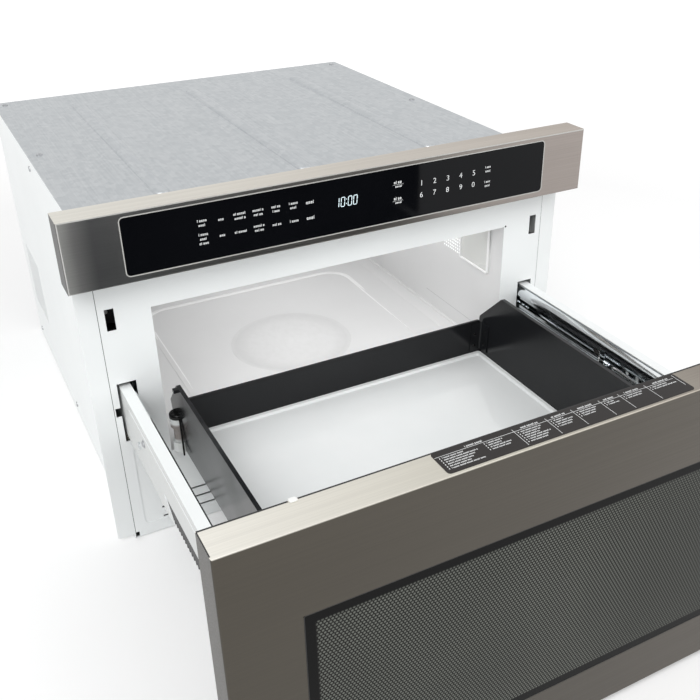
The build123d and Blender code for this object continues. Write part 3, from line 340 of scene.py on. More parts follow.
finishes = {
    "guide_post": banded_post("guide_post"),
    # The tones of bezel, door and bright_trim are painted light: painted sheen, lit tops and shaded
    # ends.
    "bezel": brushed_steel(
        "bezel_steel",
        ((0.0, srgb(196, 196, 193)), (0.022, srgb(150, 150, 149)), (0.05, srgb(112, 113, 114)),
         (0.09, srgb(128, 129, 129)), (0.6, srgb(138, 134, 129)), (0.9, srgb(156, 148, 143))),
        ((0.0, srgb(228, 225, 216)), (0.45, srgb(208, 202, 192)), (1.0, srgb(176, 165, 155))),
        end=0.97),
    "door": brushed_steel(
        "door_steel",
        ((0.0, srgb(84, 80, 73)), (0.5, srgb(93, 89, 83)), (1.0, srgb(104, 99, 93))),
        ((0.0, srgb(248, 245, 236)), (0.35, srgb(206, 202, 190)), (0.7, srgb(148, 140, 131)),
         (1.0, srgb(92, 86, 80))),
        end=0.35),
    "bright_trim": brushed_steel("bright_trim",
                                 ((0.0, srgb(206, 208, 208)), (1.0, srgb(188, 184, 180))),
                                 ((0.0, srgb(236, 236, 233)), (1.0, srgb(206, 202, 198))),
                                 roughness=0.2),
    # Painted highlight colour for the bezel's edge lines.
    "painted_highlight_line": moulded("painted_highlight_line", srgb(186, 186, 182), srgb(172, 171, 167), 0.3),
    "white_paint": painted("white_paint", srgb(240, 243, 243), srgb(236, 239, 239)),
    # The arm's sides take painted shade.
    "arm_paint": painted("arm_paint", srgb(238, 241, 241), srgb(234, 237, 237), roughness=0.42,
                         painted_side_shade=srgb(206, 208, 207)),
    "grey_enamel": painted("grey_enamel", srgb(228, 228, 228), srgb(223, 223, 223), roughness=0.42),
    "mica": domed_cover("mica"),
    "galvanised": plated("galvanised", srgb(196, 199, 201), srgb(180, 184, 187), roughness=0.42,
                         spangle=170),
    "zinc_rail": polished("zinc_rail", (srgb(240, 243, 245), srgb(224, 229, 232)), 0.15,
                          Metallic=1.0),
    "motor_steel": plated("motor_steel", srgb(190, 192, 194), srgb(150, 152, 155),
                          roughness=0.34, spangle=220),
    "fins": plated("fin_aluminium", srgb(214, 216, 219), srgb(186, 188, 192), roughness=0.3,
                   spangle=300),
    "black_glass": polished("black_glass", (srgb(8, 9, 12), srgb(11, 12, 15)), 0.06,
                            Specular_IOR_Level=0.14),
    "door_glass": screened_glass("screened_glass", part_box("door_glass"), border=0.009,
                                 pitch=0.003, hole=0.0019),
    "black_lacquer": polished("black_lacquer", (srgb(28, 29, 31), srgb(23, 24, 26)), 0.17,
                              Specular_IOR_Level=0.27),
    "gloss_black": polished("gloss_black", (srgb(12, 12, 13), srgb(8, 8, 9)), 0.09,
                            Specular_IOR_Level=0.22),
    "white_glaze": polished("white_glaze", (srgb(240, 242, 242), srgb(235, 238, 238)), 0.05),
    "vent_white": painted("vent_white", srgb(250, 250, 250), srgb(246, 246, 246), roughness=0.4),
    "black_plastic": moulded("black_plastic", srgb(30, 30, 32), srgb(24, 24, 25)),
    "dark_seam": moulded("dark_seam", srgb(38, 38, 38), srgb(28, 28, 28), 0.6),
    "white_plastic": moulded("white_plastic", srgb(232, 233, 231), srgb(222, 223, 221), 0.4),
    "gear_nylon": moulded("gear_nylon", srgb(222, 218, 205), srgb(212, 207, 192), 0.42),
    "label_film": moulded("label_film", srgb(40, 37, 36), srgb(35, 32, 31), 0.5, grain=2600,
                          Specular_IOR_Level=0.25),
    "white_ink": moulded("white_ink", srgb(226, 228, 228), srgb(212, 214, 214), 0.5, grain=3000),
    "seam_grey": moulded("seam_grey", srgb(196, 196, 196), srgb(184, 184, 184), 0.5),
    # Painted light: the glow behind the vent field's holes.
    "vent_glow": glowing("vent_glow", srgb(255, 255, 252), 1.0),
    "clock_light": glowing("clock_light", srgb(214, 232, 238), 0.45),
    "circuit_board": moulded("circuit_board", srgb(28, 96, 54), srgb(22, 80, 46), 0.42),
    "display_film": moulded("display_film", srgb(20, 22, 25), srgb(15, 17, 19), 0.25),
    "core_iron": moulded("core_iron", srgb(74, 74, 76), srgb(58, 58, 60), 0.5, grain=700,
                         depth=0.0002),
    "copper": moulded("copper_winding", srgb(176, 96, 54), srgb(148, 76, 42), 0.34, Metallic=0.8),
    "clear_lens": polished("lamp_lens", (srgb(224, 225, 222), srgb(214, 215, 212)), 0.3),
    "lamp": moulded("lamp_holder", srgb(228, 226, 218), srgb(214, 212, 205), 0.35),
}

finish_of_node = {
    "panel_bezel": "bezel", "door_skin": "door", "door_glass": "door_glass",
    "rail_arm_left": "arm_paint", "rail_arm_right": "arm_paint", "cavity_lamp": "lamp",
    "guide_posts": "guide_post",
}
finish_of_slot = {row["slot"]: row["slot"] for row in frame["record"]["materials"]}
finish_of_slot["brushed_front"] = "door"
slot_of_node = {part["node"]: part["material_slot"] for part in frame["record"]["subparts"]}
for name, node in nodes.items():
    key = finish_of_node.get(name) or finish_of_slot[slot_of_node[name]]
    node.data.materials.clear()
    node.data.materials.append(finishes[key].material)


# ---------------- helpers: shapes
def rounded(a, b, radius, steps=5):
    """Outline of a rectangle with round corners, as points."""
    points = []
    corners = ((a[1], b[1], 0), (a[0], b[1], 1), (a[0], b[0], 2), (a[1], b[0], 3))
    for corner_a, corner_b, quarter in corners:
        centre_a = corner_a - radius * (1 if corner_a == a[1] else -1)
        centre_b = corner_b - radius * (1 if corner_b == b[1] else -1)
        for step in range(steps + 1):
            angle = (quarter + step / steps) * pi / 2
            points.append((centre_a + radius * cos(angle), centre_b + radius * sin(angle)))
    return points


def circle(centre, radius, steps):
    """Outline of a circle, as points."""
    turns = [step / steps * 2 * pi for step in range(steps)]
    return [(centre[0] + radius * cos(turn), centre[1] + radius * sin(turn)) for turn in turns]


def quarter_turn(steps):
    """Angles from nought to a right angle."""
    return [step / steps * pi / 2 for step in range(steps + 1)]


def half_round(width, rise, steps=8):
    """Insets and heights of a half-round bead, from its outer foot to its inner one."""
    turns = [step / steps * pi for step in range(steps + 1)]
    return [(width / 2 * (1 - cos(turn)), rise * sin(turn)) for turn in turns]


class Shape:
    """A mesh in the making, in millimetres, that becomes one piece of the object."""

    def __init__(self):
        self.mesh = bmesh.new()

    def ring(self, outline, along, level):
        """The points of an outline, put at one level along an axis."""
        order = {"x": (2, 0, 1), "y": (0, 2, 1), "z": (0, 1, 2)}[along]
        made = []
        for a, b in outline:
            made.append(self.mesh.verts.new([(a, b, level)[index] for index in order]))
        return made

    def join(self, first, second):
        """Faces between two rings of as many points."""
        for index in range(len(first)):
            after = (index + 1) % len(first)
            self.mesh.faces.new((first[index], first[after], second[after], second[index]))

    def loft(self, outlines, along, levels, closed=True):
        """A form through outlines of as many points, each at its own level."""
        rings = [self.ring(outline, along, level) for outline, level in zip(outlines, levels)]
        for first, second in zip(rings, rings[1:]):
            self.join(first, second)
        if closed:
            self.mesh.faces.new(rings[0])
            self.mesh.faces.new(rings[-1])

    def prism(self, outline, along, levels):
        self.loft((outline, outline), along, levels)

    def bar(self, x, y, z):
        """A straight bar, given by its two ends each way."""
        self.prism([(x[0], y[0]), (x[1], y[0]), (x[1], y[1]), (x[0], y[1])], "z", z)

    def frame(self, outer, inner, along, levels):
        """A flat ring between two outlines of as many points."""
        rings = [[self.ring(outline, along, level) for level in levels]
                 for outline in (outer, inner)]
        self.join(rings[0][0], rings[0][1])
        self.join(rings[1][0], rings[1][1])
        self.join(rings[0][0], rings[1][0])
        self.join(rings[0][1], rings[1][1])

    def lathe(self, profile, centre, along="z", way=1, steps=28):
        """A turned form: points of (radius, height) swept round an axis through centre."""
        side = {"x": (0, 1, 0), "y": (1, 0, 0), "z": (1, 0, 0)}[along]
        points = []
        for radius, height in profile:
            spot = Vector(centre) + Vector(side) * radius + Vector(AXES[along]) * height * way
            points.append(self.mesh.verts.new(spot))
        edges = [self.mesh.edges.new(pair) for pair in zip(points, points[1:])]
        bmesh.ops.spin(self.mesh, geom=points + edges, cent=centre, axis=AXES[along],
                       angle=2 * pi, steps=steps, use_merge=True, use_duplicate=False)

    def write(self, text, height, x, y, z):
        """Numbers in the plain built-in face, upright and facing the user."""
        curve = bpy.data.curves.new("glyphs", "FONT")
        curve.body = text
        curve.align_x = "CENTER"
        curve.extrude = INK / 2
        glyphs = bpy.data.objects.new("glyphs", curve)
        mesh = bpy.data.meshes.new_from_object(glyphs)
        top = max(corner.co.y for corner in mesh.vertices)
        stretch = Matrix.Diagonal((height / top, height / top, 1, 1))
        stand = Matrix.Translation((x, y, z)) @ Matrix.Rotation(pi / 2, 4, "X")
        mesh.transform(stand @ stretch)
        self.mesh.from_mesh(mesh)
        bpy.data.objects.remove(glyphs)
        bpy.data.meshes.remove(mesh)

    def become(self, name, body, finish, smooth=False, bevel=0.0):
        """Turn the shape into a piece in metres, riding on its body."""
        bmesh.ops.remove_doubles(self.mesh, verts=self.mesh.verts, dist=0.0005)
        bmesh.ops.recalc_face_normals(self.mesh, faces=self.mesh.faces)
        bmesh.ops.scale(self.mesh, vec=(MM, MM, MM), verts=self.mesh.verts)
        data = bpy.data.meshes.new(name)
        self.mesh.to_mesh(data)
        self.mesh.free()
        if smooth:
            data.shade_smooth()
            data.set_sharp_from_angle(angle=radians(34))
        data.materials.append(finishes[finish].material)
        made = in_scene(name, data)
        if bevel:
            rounding = made.modifiers.new("rounding", "BEVEL")
            rounding.width = bevel * MM
            rounding.segments = 2
        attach(made, body)
        return made


def word(put, start, base, width, height, seed):
    """Stand-in for a word: a row of plain strokes and little boxes, a few of them taller."""
    pitch = 0.74 * height
    stroke = 0.2 * height
    for index in range(max(2, round(width / pitch))):
        kind = (seed + 3 * index) % 5
        left = start + index * pitch
        right = left + 0.54 * height
        top = base + 0.72 * height
        if kind == 0:
            put((left, left + stroke), (base, base + height))
            continue
        put((left, left + stroke), (base, top))
        put((right - stroke, right), (base, top))
        put((left + stroke, right - stroke), (top - stroke, top))
        if kind < 4:
            put((left + stroke, right - stroke), (base, base + stroke))


# ---------------- control panel
def panel_highlights():
    """Painted highlights: bright lines round the control glass and along the panel's top edge,
    standing in for light on the bezel's rounded edges.
    """
    low, high = span("control_glass")
    bezel_low, bezel_high = span("panel_bezel")
    corner, line, proud, sunk = 4.0, 1.1, 0.08, 0.1
    trim = Shape()
    trim.frame(rounded((low.x - line, high.x + line), (low.z - line, high.z + line), corner + line),
               rounded((low.x, high.x), (low.z, high.z), corner),
               "y", (bezel_low.y - proud, bezel_low.y + sunk))
    trim.become("control_glass_edge_highlight", "chassis", "painted_highlight_line")

    end_inset, edge_proud, edge_depth, edge_height = 0.5, 0.06, 0.6, 1.3
    edge = Shape()
    edge.bar((bezel_low.x + end_inset, bezel_high.x - end_inset),
             (bezel_low.y - edge_proud, bezel_low.y + edge_depth),
             (bezel_high.z - edge_height, bezel_high.z - HAIR))
    edge.become("panel_edge_highlight", "chassis", "painted_highlight_line", bevel=0.2)


def panel_print():
    """Stroke words in place of the control panel's legends, and its ten plain numbers."""
    face = span("control_glass")[0].y
    ink_y = (face - INK, face)
    marks = Shape()

    def put(x, z):
        marks.bar(x, ink_y, z)

    def centred(centre, base, width, height, seed):
        word(put, centre - width / 2, base, width, height, seed)

    # Twelve function keys: two rows of six legends, each of one to three lines.
    line_step, line_height, line_drop, line_shorter = 4.7, 2.7, 1.0, 2.0
    columns = (-166.3, -146.9, -127.5, -107.9, -88.3, -69.0)
    widths = (10.5, 6.5, 13.5, 12.0, 10.5, 10.5)
    upper_row, upper_lines = 379.3, (2, 1, 2, 2, 2, 2)
    lower_row, lower_lines = 362.5, (3, 1, 1, 2, 1, 1)
    for row, lines in ((upper_row, upper_lines), (lower_row, lower_lines)):
        for index, (column, count) in enumerate(zip(columns, lines)):
            for line in range(count):
                base = row - line_drop + (0.5 * (count - 1) - line) * line_step
                width = widths[index] - line_shorter * (line % 2)
                centred(column, base, width, line_height, index + line)

    # Two keys that move the drawer, left of the clock.
    drawer_key, drawer_key_width, drawer_key_height = -49.6, 11.5, 3.5
    for row in (379.4, 362.4):
        centred(drawer_key, row - 1.4, drawer_key_width, drawer_key_height, 1)

    # Two keys right of the clock: a legend, a ruled line and a smaller legend below it.
    main_key, main_width, main_height, main_rise = 53.0, 10.0, 3.3, 0.7
    sub_key, sub_width, sub_height, sub_drop = 54.0, 8.4, 2.4, 3.6
    rule_x, rule_foot, rule_top = (46.4, 59.6), 0.55, 0.3
    for row in (380.9, 362.6):
        centred(main_key, row + main_rise, main_width, main_height, 2)
        centred(sub_key, row - sub_drop, sub_width, sub_height, 3)
        marks.bar(rule_x, ink_y, (row - rule_foot, row - rule_top))

    # Two keys at the right end, each of two lines.
    end_key, end_width, end_height, end_rise = 169.8, 8.6, 2.6, 1.3
    for row in (378.4, 361.3):
        for line in range(2):
            centred(end_key, row + end_rise - line * line_step, end_width - line, end_height, line)

    # The ten numbers.
    digit_height = 5.8
    upper_digits = ("12345", (82.5, 99.2, 116.2, 133.1, 150.4), 377.2)
    lower_digits = ("67890", (82.4, 99.1, 116.1, 133.5, 150.1), 363.8)
    for digits, places, row in (upper_digits, lower_digits):
        for text, place in zip(digits, places):
            marks.write(text, digit_height, place, face - INK / 2, row - digit_height / 2)
    marks.become("control_panel_print", "chassis", "white_ink")


def clock_digits():
    """Four seven-segment digits with a colon."""
    face = span("control_glass")[0].y
    ink_y = (face - INK, face)
    clock = Shape()
    height, width, stroke, slant = 10.0, 4.1, 0.8, 0.09
    tip_gap = 0.15
    ends = {"a": ((-1, 1), (1, 1)), "b": ((1, 1), (1, 0)), "c": ((1, 0), (1, -1)),
            "d": ((1, -1), (-1, -1)), "e": ((-1, -1), (-1, 0)), "f": ((-1, 0), (-1, 1))}

    def segment(centre, ends):
        """A slanted bar with pointed ends between two corners of a digit."""
        (a, b), (c, d) = [(u * width / 2, v * height / 2) for u, v in ends]
        length = hypot(c - a, d - b)
        along = Vector(((c - a) / length, (d - b) / length))
        across = Vector((-along.y, along.x)) * stroke / 2
        tips = Vector((a, b)) + along * tip_gap, Vector((c, d)) - along * tip_gap
        inner = [tip + step for tip, step in zip(tips, (along * stroke / 2, -along * stroke / 2))]
        outline = (tips[0], inner[0] + across, inner[1] + across, tips[1], inner[1] - across,
                   inner[0] - across)
        clock.prism([(centre[0] + point.x + slant * point.y, centre[1] + point.y)
                     for point in outline], "y", ink_y)

    one, nought = "bc", "abcdef"
    middle = 373.0
    for digit, centre in ((one, -20.0), (nought, -13.3), (nought, -5.0), (nought, 1.3)):
        for letter in digit:
            segment((centre, middle), ends[letter])
    dot_left, dot_right, dot_half, dot_rise = -9.6, -8.7, 0.45, 2.4
    for rise in (-dot_rise, dot_rise):
        clock.bar((dot_left + slant * rise, dot_right + slant * rise), ink_y,
                  (middle + rise - dot_half, middle + rise + dot_half))
    clock.become("clock_digits", "chassis", "clock_light")


panel_highlights()
panel_print()
clock_digits()


# ---------------- print on the drawer's label
def label_print():
    """Ruled columns of tick rows in white on the dark label along the drawer's top edge."""
    low, high = span("menu_label")
    ink_z = (high.z, high.z + INK)
    sheet = Shape()

    def put(x, y):
        sheet.bar(x, y, ink_z)

    # The ruled lines: one below the titles, one beside each column, one at the right end.
    head_line = high.y - 6.1
    ruled = 0.35
    dividers = (low.x + 0.6, -66.0, -36.3, -12.3, 14.0, 33.0, 59.5, high.x - 1.0)
    line_short = 4.0
    foot_inset = 1.6
    title_rise = 3.2
    sheet.bar((dividers[0], dividers[-1] - line_short), (head_line, head_line + ruled), ink_z)
    for divider in dividers[1:-1]:
        sheet.bar((divider, divider + ruled), (low.y + foot_inset, head_line + title_rise), ink_z)
    end_left, end_right = dividers[-1] - 2.0, dividers[-1] - 1.6
    sheet.bar((end_left, end_right), (low.y + 8.0, high.y - 2.0), ink_z)

    # The words: a title over each column, and rows of a tick with a word of varied length.
    row_count = (6, 6, 4, 3, 2, 2, 2)
    row_step = 2.55
    first_row = 2.6
    row_height = 1.5
    tick_left, tick_right, tick_height = 2.4, 1.7, 1.2
    title_width, title_share, title_base, title_height = 15.0, 0.55, 1.3, 1.9
    shortest, varied = 0.62, 0.38
    for index, (left, right) in enumerate(zip(dividers, dividers[1:])):
        room = right - left
        title = min(title_width, title_share * room)
        word(put, (left + right - title) / 2, head_line + title_base, title, title_height, index)
        blocks = ((left + 4.6, room - 9.0),)
        if index == 0:
            blocks = ((left + 5.0, 28.0), (left + 42.0, 18.0))
        for block, (start, width) in enumerate(blocks):
            for row in range(row_count[index] - 2 * block):
                base = head_line - first_row - row * row_step
                reach = width * (shortest + varied * ((3 * row + 2 * index + block) % 4) / 3)
                put((start - tick_left, start - tick_right), (base, base + tick_height))
                word(put, start, base, reach, row_height, row + index)
    sheet.become("menu_label_print", "drawer", "white_ink")


label_print()


# ---------------- drawer front
TAB_LEFT = -240.0         # the clear tab on the drawer front's rear edge
TAB_RIGHT = -234.2
TAB_GAP = 0.6             # from the tab to the dark edge beside it


def rear_edge():
    """The dark line along the rear and the two ends of the drawer front's top."""
    low, high = span("door_skin")
    proud, sunk, line = 0.1, 0.4, 1.4
    end_inset, end_width, front_inset = 0.4, 0.9, 3.0
    edge = Shape()
    for x in ((low.x + end_inset, TAB_LEFT - TAB_GAP), (TAB_RIGHT + TAB_GAP, high.x - end_inset)):
        edge.bar(x, (high.y - line, high.y - HAIR), (high.z - sunk, high.z + proud))
    for x in ((low.x + HAIR, low.x + end_width), (high.x - end_width, high.x - HAIR)):
        edge.bar(x, (low.y + front_inset, high.y - line), (high.z - sunk, high.z + proud))
    edge.become("drawer_rear_edge", "drawer", "dark_seam")


def clear_tab():
    """The small clear tab in the gap of the dark rear edge."""
    high = span("door_skin")[1]
    front, rear, corner, thickness = 3.2, 1.4, 1.2, 0.8
    tab = Shape()
    tab.prism(rounded((TAB_LEFT, TAB_RIGHT), (high.y - front, high.y + rear), corner), "z",
              (high.z, high.z + thickness))
    tab.become("drawer_clear_tab", "drawer", "white_plastic", bevel=0.2)


def glass_trim():
    """The dark seam round the drawer's glass."""
    low, high = span("door_glass")
    corner, line, proud, sunk = 2.0, 0.6, 0.1, 0.3
    trim = Shape()
    trim.frame(rounded((low.x, high.x), (low.z, high.z), corner),
               rounded((low.x + line, high.x - line), (low.z + line, high.z - line), corner - line),
               "y", (low.y - proud, low.y + sunk))
    trim.become("drawer_glass_trim", "drawer", "dark_seam")


rear_edge()
clear_tab()
glass_trim()


# ---------------- basket
def corner_angles():
    """The bent angles in the basket's rear corners, and the rivets that hold them."""
    back_low, back_high = span("basket_back_wall")
    wall_low, wall_high = span("basket_wall_right")
    foot = back_high.x
    top = wall_high.z
    lean = (wall_high.x - wall_low.x) / 2

    def inner_face(z):
        """Half the width between the leaning side walls at a height."""
        return foot + lean * (z - back_low.z) / (top - back_low.z)

    sheet, reach, bend = 1.0, 16.0, 3.0
    side_gap, back_gap = 0.4, 0.3
    levels = (back_low.z + 9.0, back_high.z - 3.0)
    rivet = [(0, 1.1), (0.8, 1.0), (1.5, 0.6), (1.9, 0), (1.9, -0.4)]
    rivet_levels = (138.9, 122.0)
    back_rivet, side_rivet, side_rivet_rise = 9.5, 9.0, 3.0
    angles = Shape()
    rivets = Shape()
    for side in SIDES.values():
        outlines = []
        for level in levels:
            x = inner_face(level) - side_gap
            y = back_low.y - back_gap
            outline = [(x - reach, y), (x - reach, y - sheet), (x - bend, y - sheet)]
            radius = bend - sheet
            for angle in quarter_turn(4):
                outline.append((x - bend + radius * sin(angle), y - bend + radius * cos(angle)))
            outline += [(x - sheet, y - reach), (x, y - reach)]
            for angle in reversed(quarter_turn(4)):
                outline.append((x - bend + bend * sin(angle), y - bend + bend * cos(angle)))
            outlines.append([(side * a, b) for a, b in outline])
        angles.loft(outlines, "z", levels)
        for level in rivet_levels:
            rivets.lathe(rivet, (side * (foot - back_rivet), back_low.y - back_gap - sheet, level),
                         "y", -1)
            rivets.lathe(rivet, (side * (inner_face(level) - side_gap - sheet),
                                 back_low.y - side_rivet, level + side_rivet_rise), "x", -side)
    angles.become("basket_corner_angles", "drawer", "black_lacquer", smooth=True)
    rivets.become("basket_rivets", "drawer", "gloss_black", smooth=True)


def guide_post_details():
    """The bent rods in front of the guide posts, and the screws in their caps."""
    post_low = span("guide_posts")[0]
    cap_low, cap_high = span("guide_caps")
    rod, rod_inset = 1.0, 8.6
    front = post_low.y - rod
    foot_z = post_low.z + 0.3
    knee, knee_forward = 11.0, 0.6
    foot_outward, foot_forward = 1.2, 5.5
    top_gap = 0.2
    screw_inset = 5.2
    screw = [(0, 0.3), (0.9, 0.3), (1.1, 0.9), (2.4, 0.7), (2.9, 0), (2.9, -0.3)]
    rods = Shape()
    screws = Shape()
    for side in SIDES.values():
        x = side * (cap_high.x - rod_inset)
        line = ((x, front, cap_low.z + top_gap), (x, front - knee_forward, foot_z + knee),
                (x + side * foot_outward, front - foot_forward, foot_z))
        outlines = [circle(point[:2], rod, 12) for point in line]
        rods.loft(outlines, "z", [point[2] for point in line])
        centre = (side * (cap_high.x - screw_inset), (cap_low.y + cap_high.y) / 2, cap_high.z)
        screws.lathe(screw, centre, steps=20)
    rods.become("guide_rods", "drawer", "gloss_black", smooth=True)
    screws.become("guide_cap_screws", "drawer", "gloss_black", smooth=True)


corner_angles()
guide_post_details()


# ---------------- cavity
def floor_bead():
    """The pressed bead on the cavity's floor, which sinks into it along the sides."""
    floor = span("stirrer_cover")[1].z
    half, near, far, corner = 165.0, 38.0, 352.0, 40.0
    width, rise, sunk = 8.0, 1.1, 0.12
    fade_from, fade_over = 2.6 * corner, 2.2 * corner
    outlines = []
    levels = []
    for inset, height in half_round(width, rise):
        outlines.append(rounded((-half + inset, half - inset), (near + inset, far - inset),
                                corner - inset, steps=10))
        levels.append(floor + height)
    bead = Shape()
    bead.loft(outlines, "z", levels, closed=False)
    for vertex in bead.mesh.verts:
        held = max(0.0, min(1.0, (vertex.co.y - far + fade_from) / fade_over))
        vertex.co.z = floor - sunk + (vertex.co.z - floor) * held
    bead.become("cavity_floor_bead", "chassis", "vent_white", smooth=True)


def side_ledge():
    """The low ledge along the foot of the cavity's right wall, and the seam above it."""
    floor = span("stirrer_cover")[1].z
    wall_low, wall_high = span("cavity_side_right")
    back, lip, height, bend = 22.0, 19.5, 0.8, 2.2
    front_inset, rear_inset = 12.0, 0.1
    edge = [(wall_low.x - back, floor + HAIR), (wall_low.x - lip, floor + height),
            (wall_low.x - bend, floor + height)]
    for turn in quarter_turn(4):
        edge.append((wall_low.x - bend * cos(turn), floor + height + bend * sin(turn)))
    edge.append((wall_low.x, floor + HAIR))
    ledge = Shape()
    ledge.prism(edge, "y", (wall_low.y + front_inset, wall_high.y - rear_inset))
    ledge.become("cavity_side_ledge", "chassis", "grey_enamel", smooth=True)

    proud = 0.1
    seam_y = (58.0, 180.0)
    seam_z = (128.7, 129.3)
    seam = Shape()
    seam.bar((wall_low.x - proud, wall_low.x), seam_y, seam_z)
    seam.become("cavity_wall_seam", "chassis", "seam_grey")


def lamp_cover():
    """The raised rim of the lamp's cover and the clear sheet inside it."""
    wall_low = span("cavity_side_right")[0]
    low, high = span("lamp_window")
    wall = low.x
    top = high.z + 30.0
    width, rise, sunk, corner = 3.4, 2.2, 0.1, 4.5
    outlines = []
    levels = []
    for inset, height in half_round(width, rise):
        outlines.append(rounded((low.y + inset, high.y - inset), (low.z + inset, top - inset),
                                corner - inset, steps=6))
        levels.append(wall + sunk - height)
    rim = Shape()
    rim.loft(outlines, "x", levels, closed=False)
    rim.become("lamp_cover_rim", "chassis", "vent_white", smooth=True)

    inset, sheet_corner, proud = 1.0, 3.5, 0.3
    sheet = Shape()
    sheet.prism(rounded((low.y + inset, high.y - inset), (low.z + inset, top - inset), sheet_corner),
                "x", (wall - proud, wall_low.x - HAIR))
    sheet.become("lamp_cover_sheet", "chassis", "clear_lens")


def vent_glow():
    """A glowing sheet behind the perforated field of the cavity's right wall: painted light for the
    light seen through its holes.
    """
    wall_high = span("cavity_side_right")[1]
    low, high = span("lamp_window")
    field, corner = 44.0, 3.0
    near = high.y + 3.0
    foot = low.z - 2.0
    gap, rear = 0.05, 0.6
    glow = Shape()
    glow.prism(rounded((near, near + field), (foot, foot + field), corner),
               "x", (wall_high.x + gap, wall_high.x + rear))
    glow.become("vent_field_glow", "chassis", "vent_glow")


floor_bead()
side_ledge()
lamp_cover()
vent_glow()


# ---------------- slide rails and arms
def rail_details(name, side):
    """The studs and the end stop of one middle rail."""
    low, high = span(f"rail_mid_{name}")
    web = high.x if side > 0 else low.x
    open_side = low.x if side > 0 else high.x
    sheet = 1.2
    face = web - side * sheet
    stud = [(0, 0.6), (1.4, 0.55), (2.3, 0.35), (2.7, 0), (2.7, -0.3)]
    stud_places = ((-35.7, 165.7), (-47.7, 164.6))
    collar = [(2.2, 0), (2.4, 0.6), (3.4, 0.6), (3.7, 0)]
    collar_y, collar_z = -67.5, 167.3
    studs = Shape()
    for y, z in stud_places:
        studs.lathe(stud, (face, y, z), "x", -side)
    studs.lathe(collar, (face, collar_y, collar_z), "x", -side)
    studs.become(f"rail_studs_{name}", f"middle_rail_{name}", "zinc_rail",
                 smooth=True)

    plate_reach, plate_inset, plate_y = 1.6, 8.0, (low.y - 1.0, low.y - 0.2)
    tongue_reach, tongue_inset, tongue_length = 1.0, 16.0, 9.0
    stop = Shape()
    stop.bar(sorted((open_side, open_side + side * plate_reach)), plate_y,
             (low.z + plate_inset, high.z - plate_inset))
    stop.bar(sorted((open_side, open_side + side * tongue_reach)),
             (plate_y[1], plate_y[1] + tongue_length),
             (low.z + tongue_inset, high.z - tongue_inset))
    stop.become(f"rail_stop_{name}", f"middle_rail_{name}", "bright_trim",
                bevel=0.25)


def arm_screw(name, side):
    """The pan-head screw with its washer on one arm's outer side."""
    high = span("rail_arm_right")[1]
    web = high.x - 0.6
    y = -84.9
    drop = 18.8
    head = [(0, 2.9), (1.2, 2.85), (2.4, 2.5), (3.3, 1.7), (3.6, 0.9), (3.6, 0.8), (4.6, 0.8),
            (4.8, 0.6), (4.8, -0.2)]
    screw = Shape()
    screw.lathe(head, (side * web, y, high.z - drop), "x", side, steps=24)
    screw.become(f"arm_pan_screw_{name}", "drawer", "motor_steel", smooth=True)


for name, side in SIDES.items():
    rail_details(name, side)
for name, side in SIDES.items():
    arm_screw(name, side)


# ---------------- front plate
def plate_seams():
    """The dark seams beside the front plate."""
    low, high = span("front_plate")
    case_low = span("side_panel_left")[0]
    width, front_inset, foot_inset = 0.55, 0.3, 0.5
    seam = Shape()
    for side in SIDES.values():
        x = sorted((side * (high.x + HAIR), side * (high.x + width)))
        seam.bar(x, (low.y + front_inset, high.y),
                 (case_low.z + foot_inset, span("panel_bezel")[0].z))
    seam.become("plate_seams", "chassis", "dark_seam")


def corner_plug():
    """The small plug at the upper right corner of the cavity's opening."""
    x, z = 222.6, 287.6
    head = [(0, 0.5), (0.9, 0.45), (1.2, 0.2), (1.2, 0)]
    plug = Shape()
    plug.lathe(head, (x, 0, z), "y", -1, steps=16)
    plug.become("corner_plug", "chassis", "black_plastic", smooth=True)


def latch_levers():
    """The black curved levers at the foot of the latch holes, below the hooks' path."""
    hook_low = span("latch_hooks")[0]
    plate_low, plate_high = span("front_plate")
    inner, outer = 258.9, 267.9
    foot, tip = hook_low.z - 6.0, hook_low.z - 0.5
    face_inset = 0.3
    outline = [(inner, tip), (inner, foot), (outer, foot)]
    for turn in quarter_turn(6)[1:-1]:
        outline.append((outer - (outer - inner) * sin(turn), tip - (tip - foot) * cos(turn)))
    levers = Shape()
    for side in SIDES.values():
        levers.prism([(side * a, b) for a, b in outline], "y",
                     (plate_low.y + face_inset, plate_high.y - face_inset))
    levers.become("latch_levers", "chassis", "gloss_black")


plate_seams()
corner_plug()
latch_levers()


# ---------------- outer case
def case_screws():
    """The screws of the case's sides, cover and back."""
    cover_low, cover_high = span("top_cover")
    back_high = span("back_panel")[1]
    head = [(0, 0.7), (1.5, 0.7), (1.7, 1.5), (2.7, 1.5), (3.6, 0.9), (3.8, 0), (3.8, -0.2)]
    wall = cover_high.x
    side_rows = (40.0, 300.0, 560.0)
    cover_rows = (30.0, 300.0, 570.0)
    inset = 14.0
    back_inset, back_edge = 12.0, 16.0
    screws = Shape()
    for side in SIDES.values():
        for y in side_rows:
            for z in (inset, cover_low.z - inset):
                screws.lathe(head, (side * wall, y, z), "x", side, steps=20)
        for y in cover_rows:
            screws.lathe(head, (side * (wall - inset), y, cover_high.z), "z", 1, steps=20)
        for z in (back_edge, back_high.z / 2, back_high.z - back_edge):
            screws.lathe(head, (side * (wall - back_inset), back_high.y, z), "y", 1, steps=20)
    screws.become("case_screws", "chassis", "motor_steel", smooth=True)


def cover_beads():
    """The three long beads pressed into the cover."""
    cover_high = span("top_cover")[1]
    pitch, half, near, far = 170.0, 9.0, 90.0, 520.0
    slope, rise, sunk = 7.5, 2.6, 0.05
    beads = Shape()
    for x in (-pitch, 0.0, pitch):
        outlines = []
        levels = []
        for turn in quarter_turn(6):
            inset = slope * (1 - cos(turn))
            outlines.append(rounded((x - half + inset, x + half - inset),
                                    (near + inset, far - inset), half - inset, steps=8))
            levels.append(cover_high.z - sunk + rise * sin(turn))
        beads.loft(outlines, "z", levels)
    beads.become("cover_beads", "chassis", "galvanised", smooth=True)


case_screws()
cover_beads()


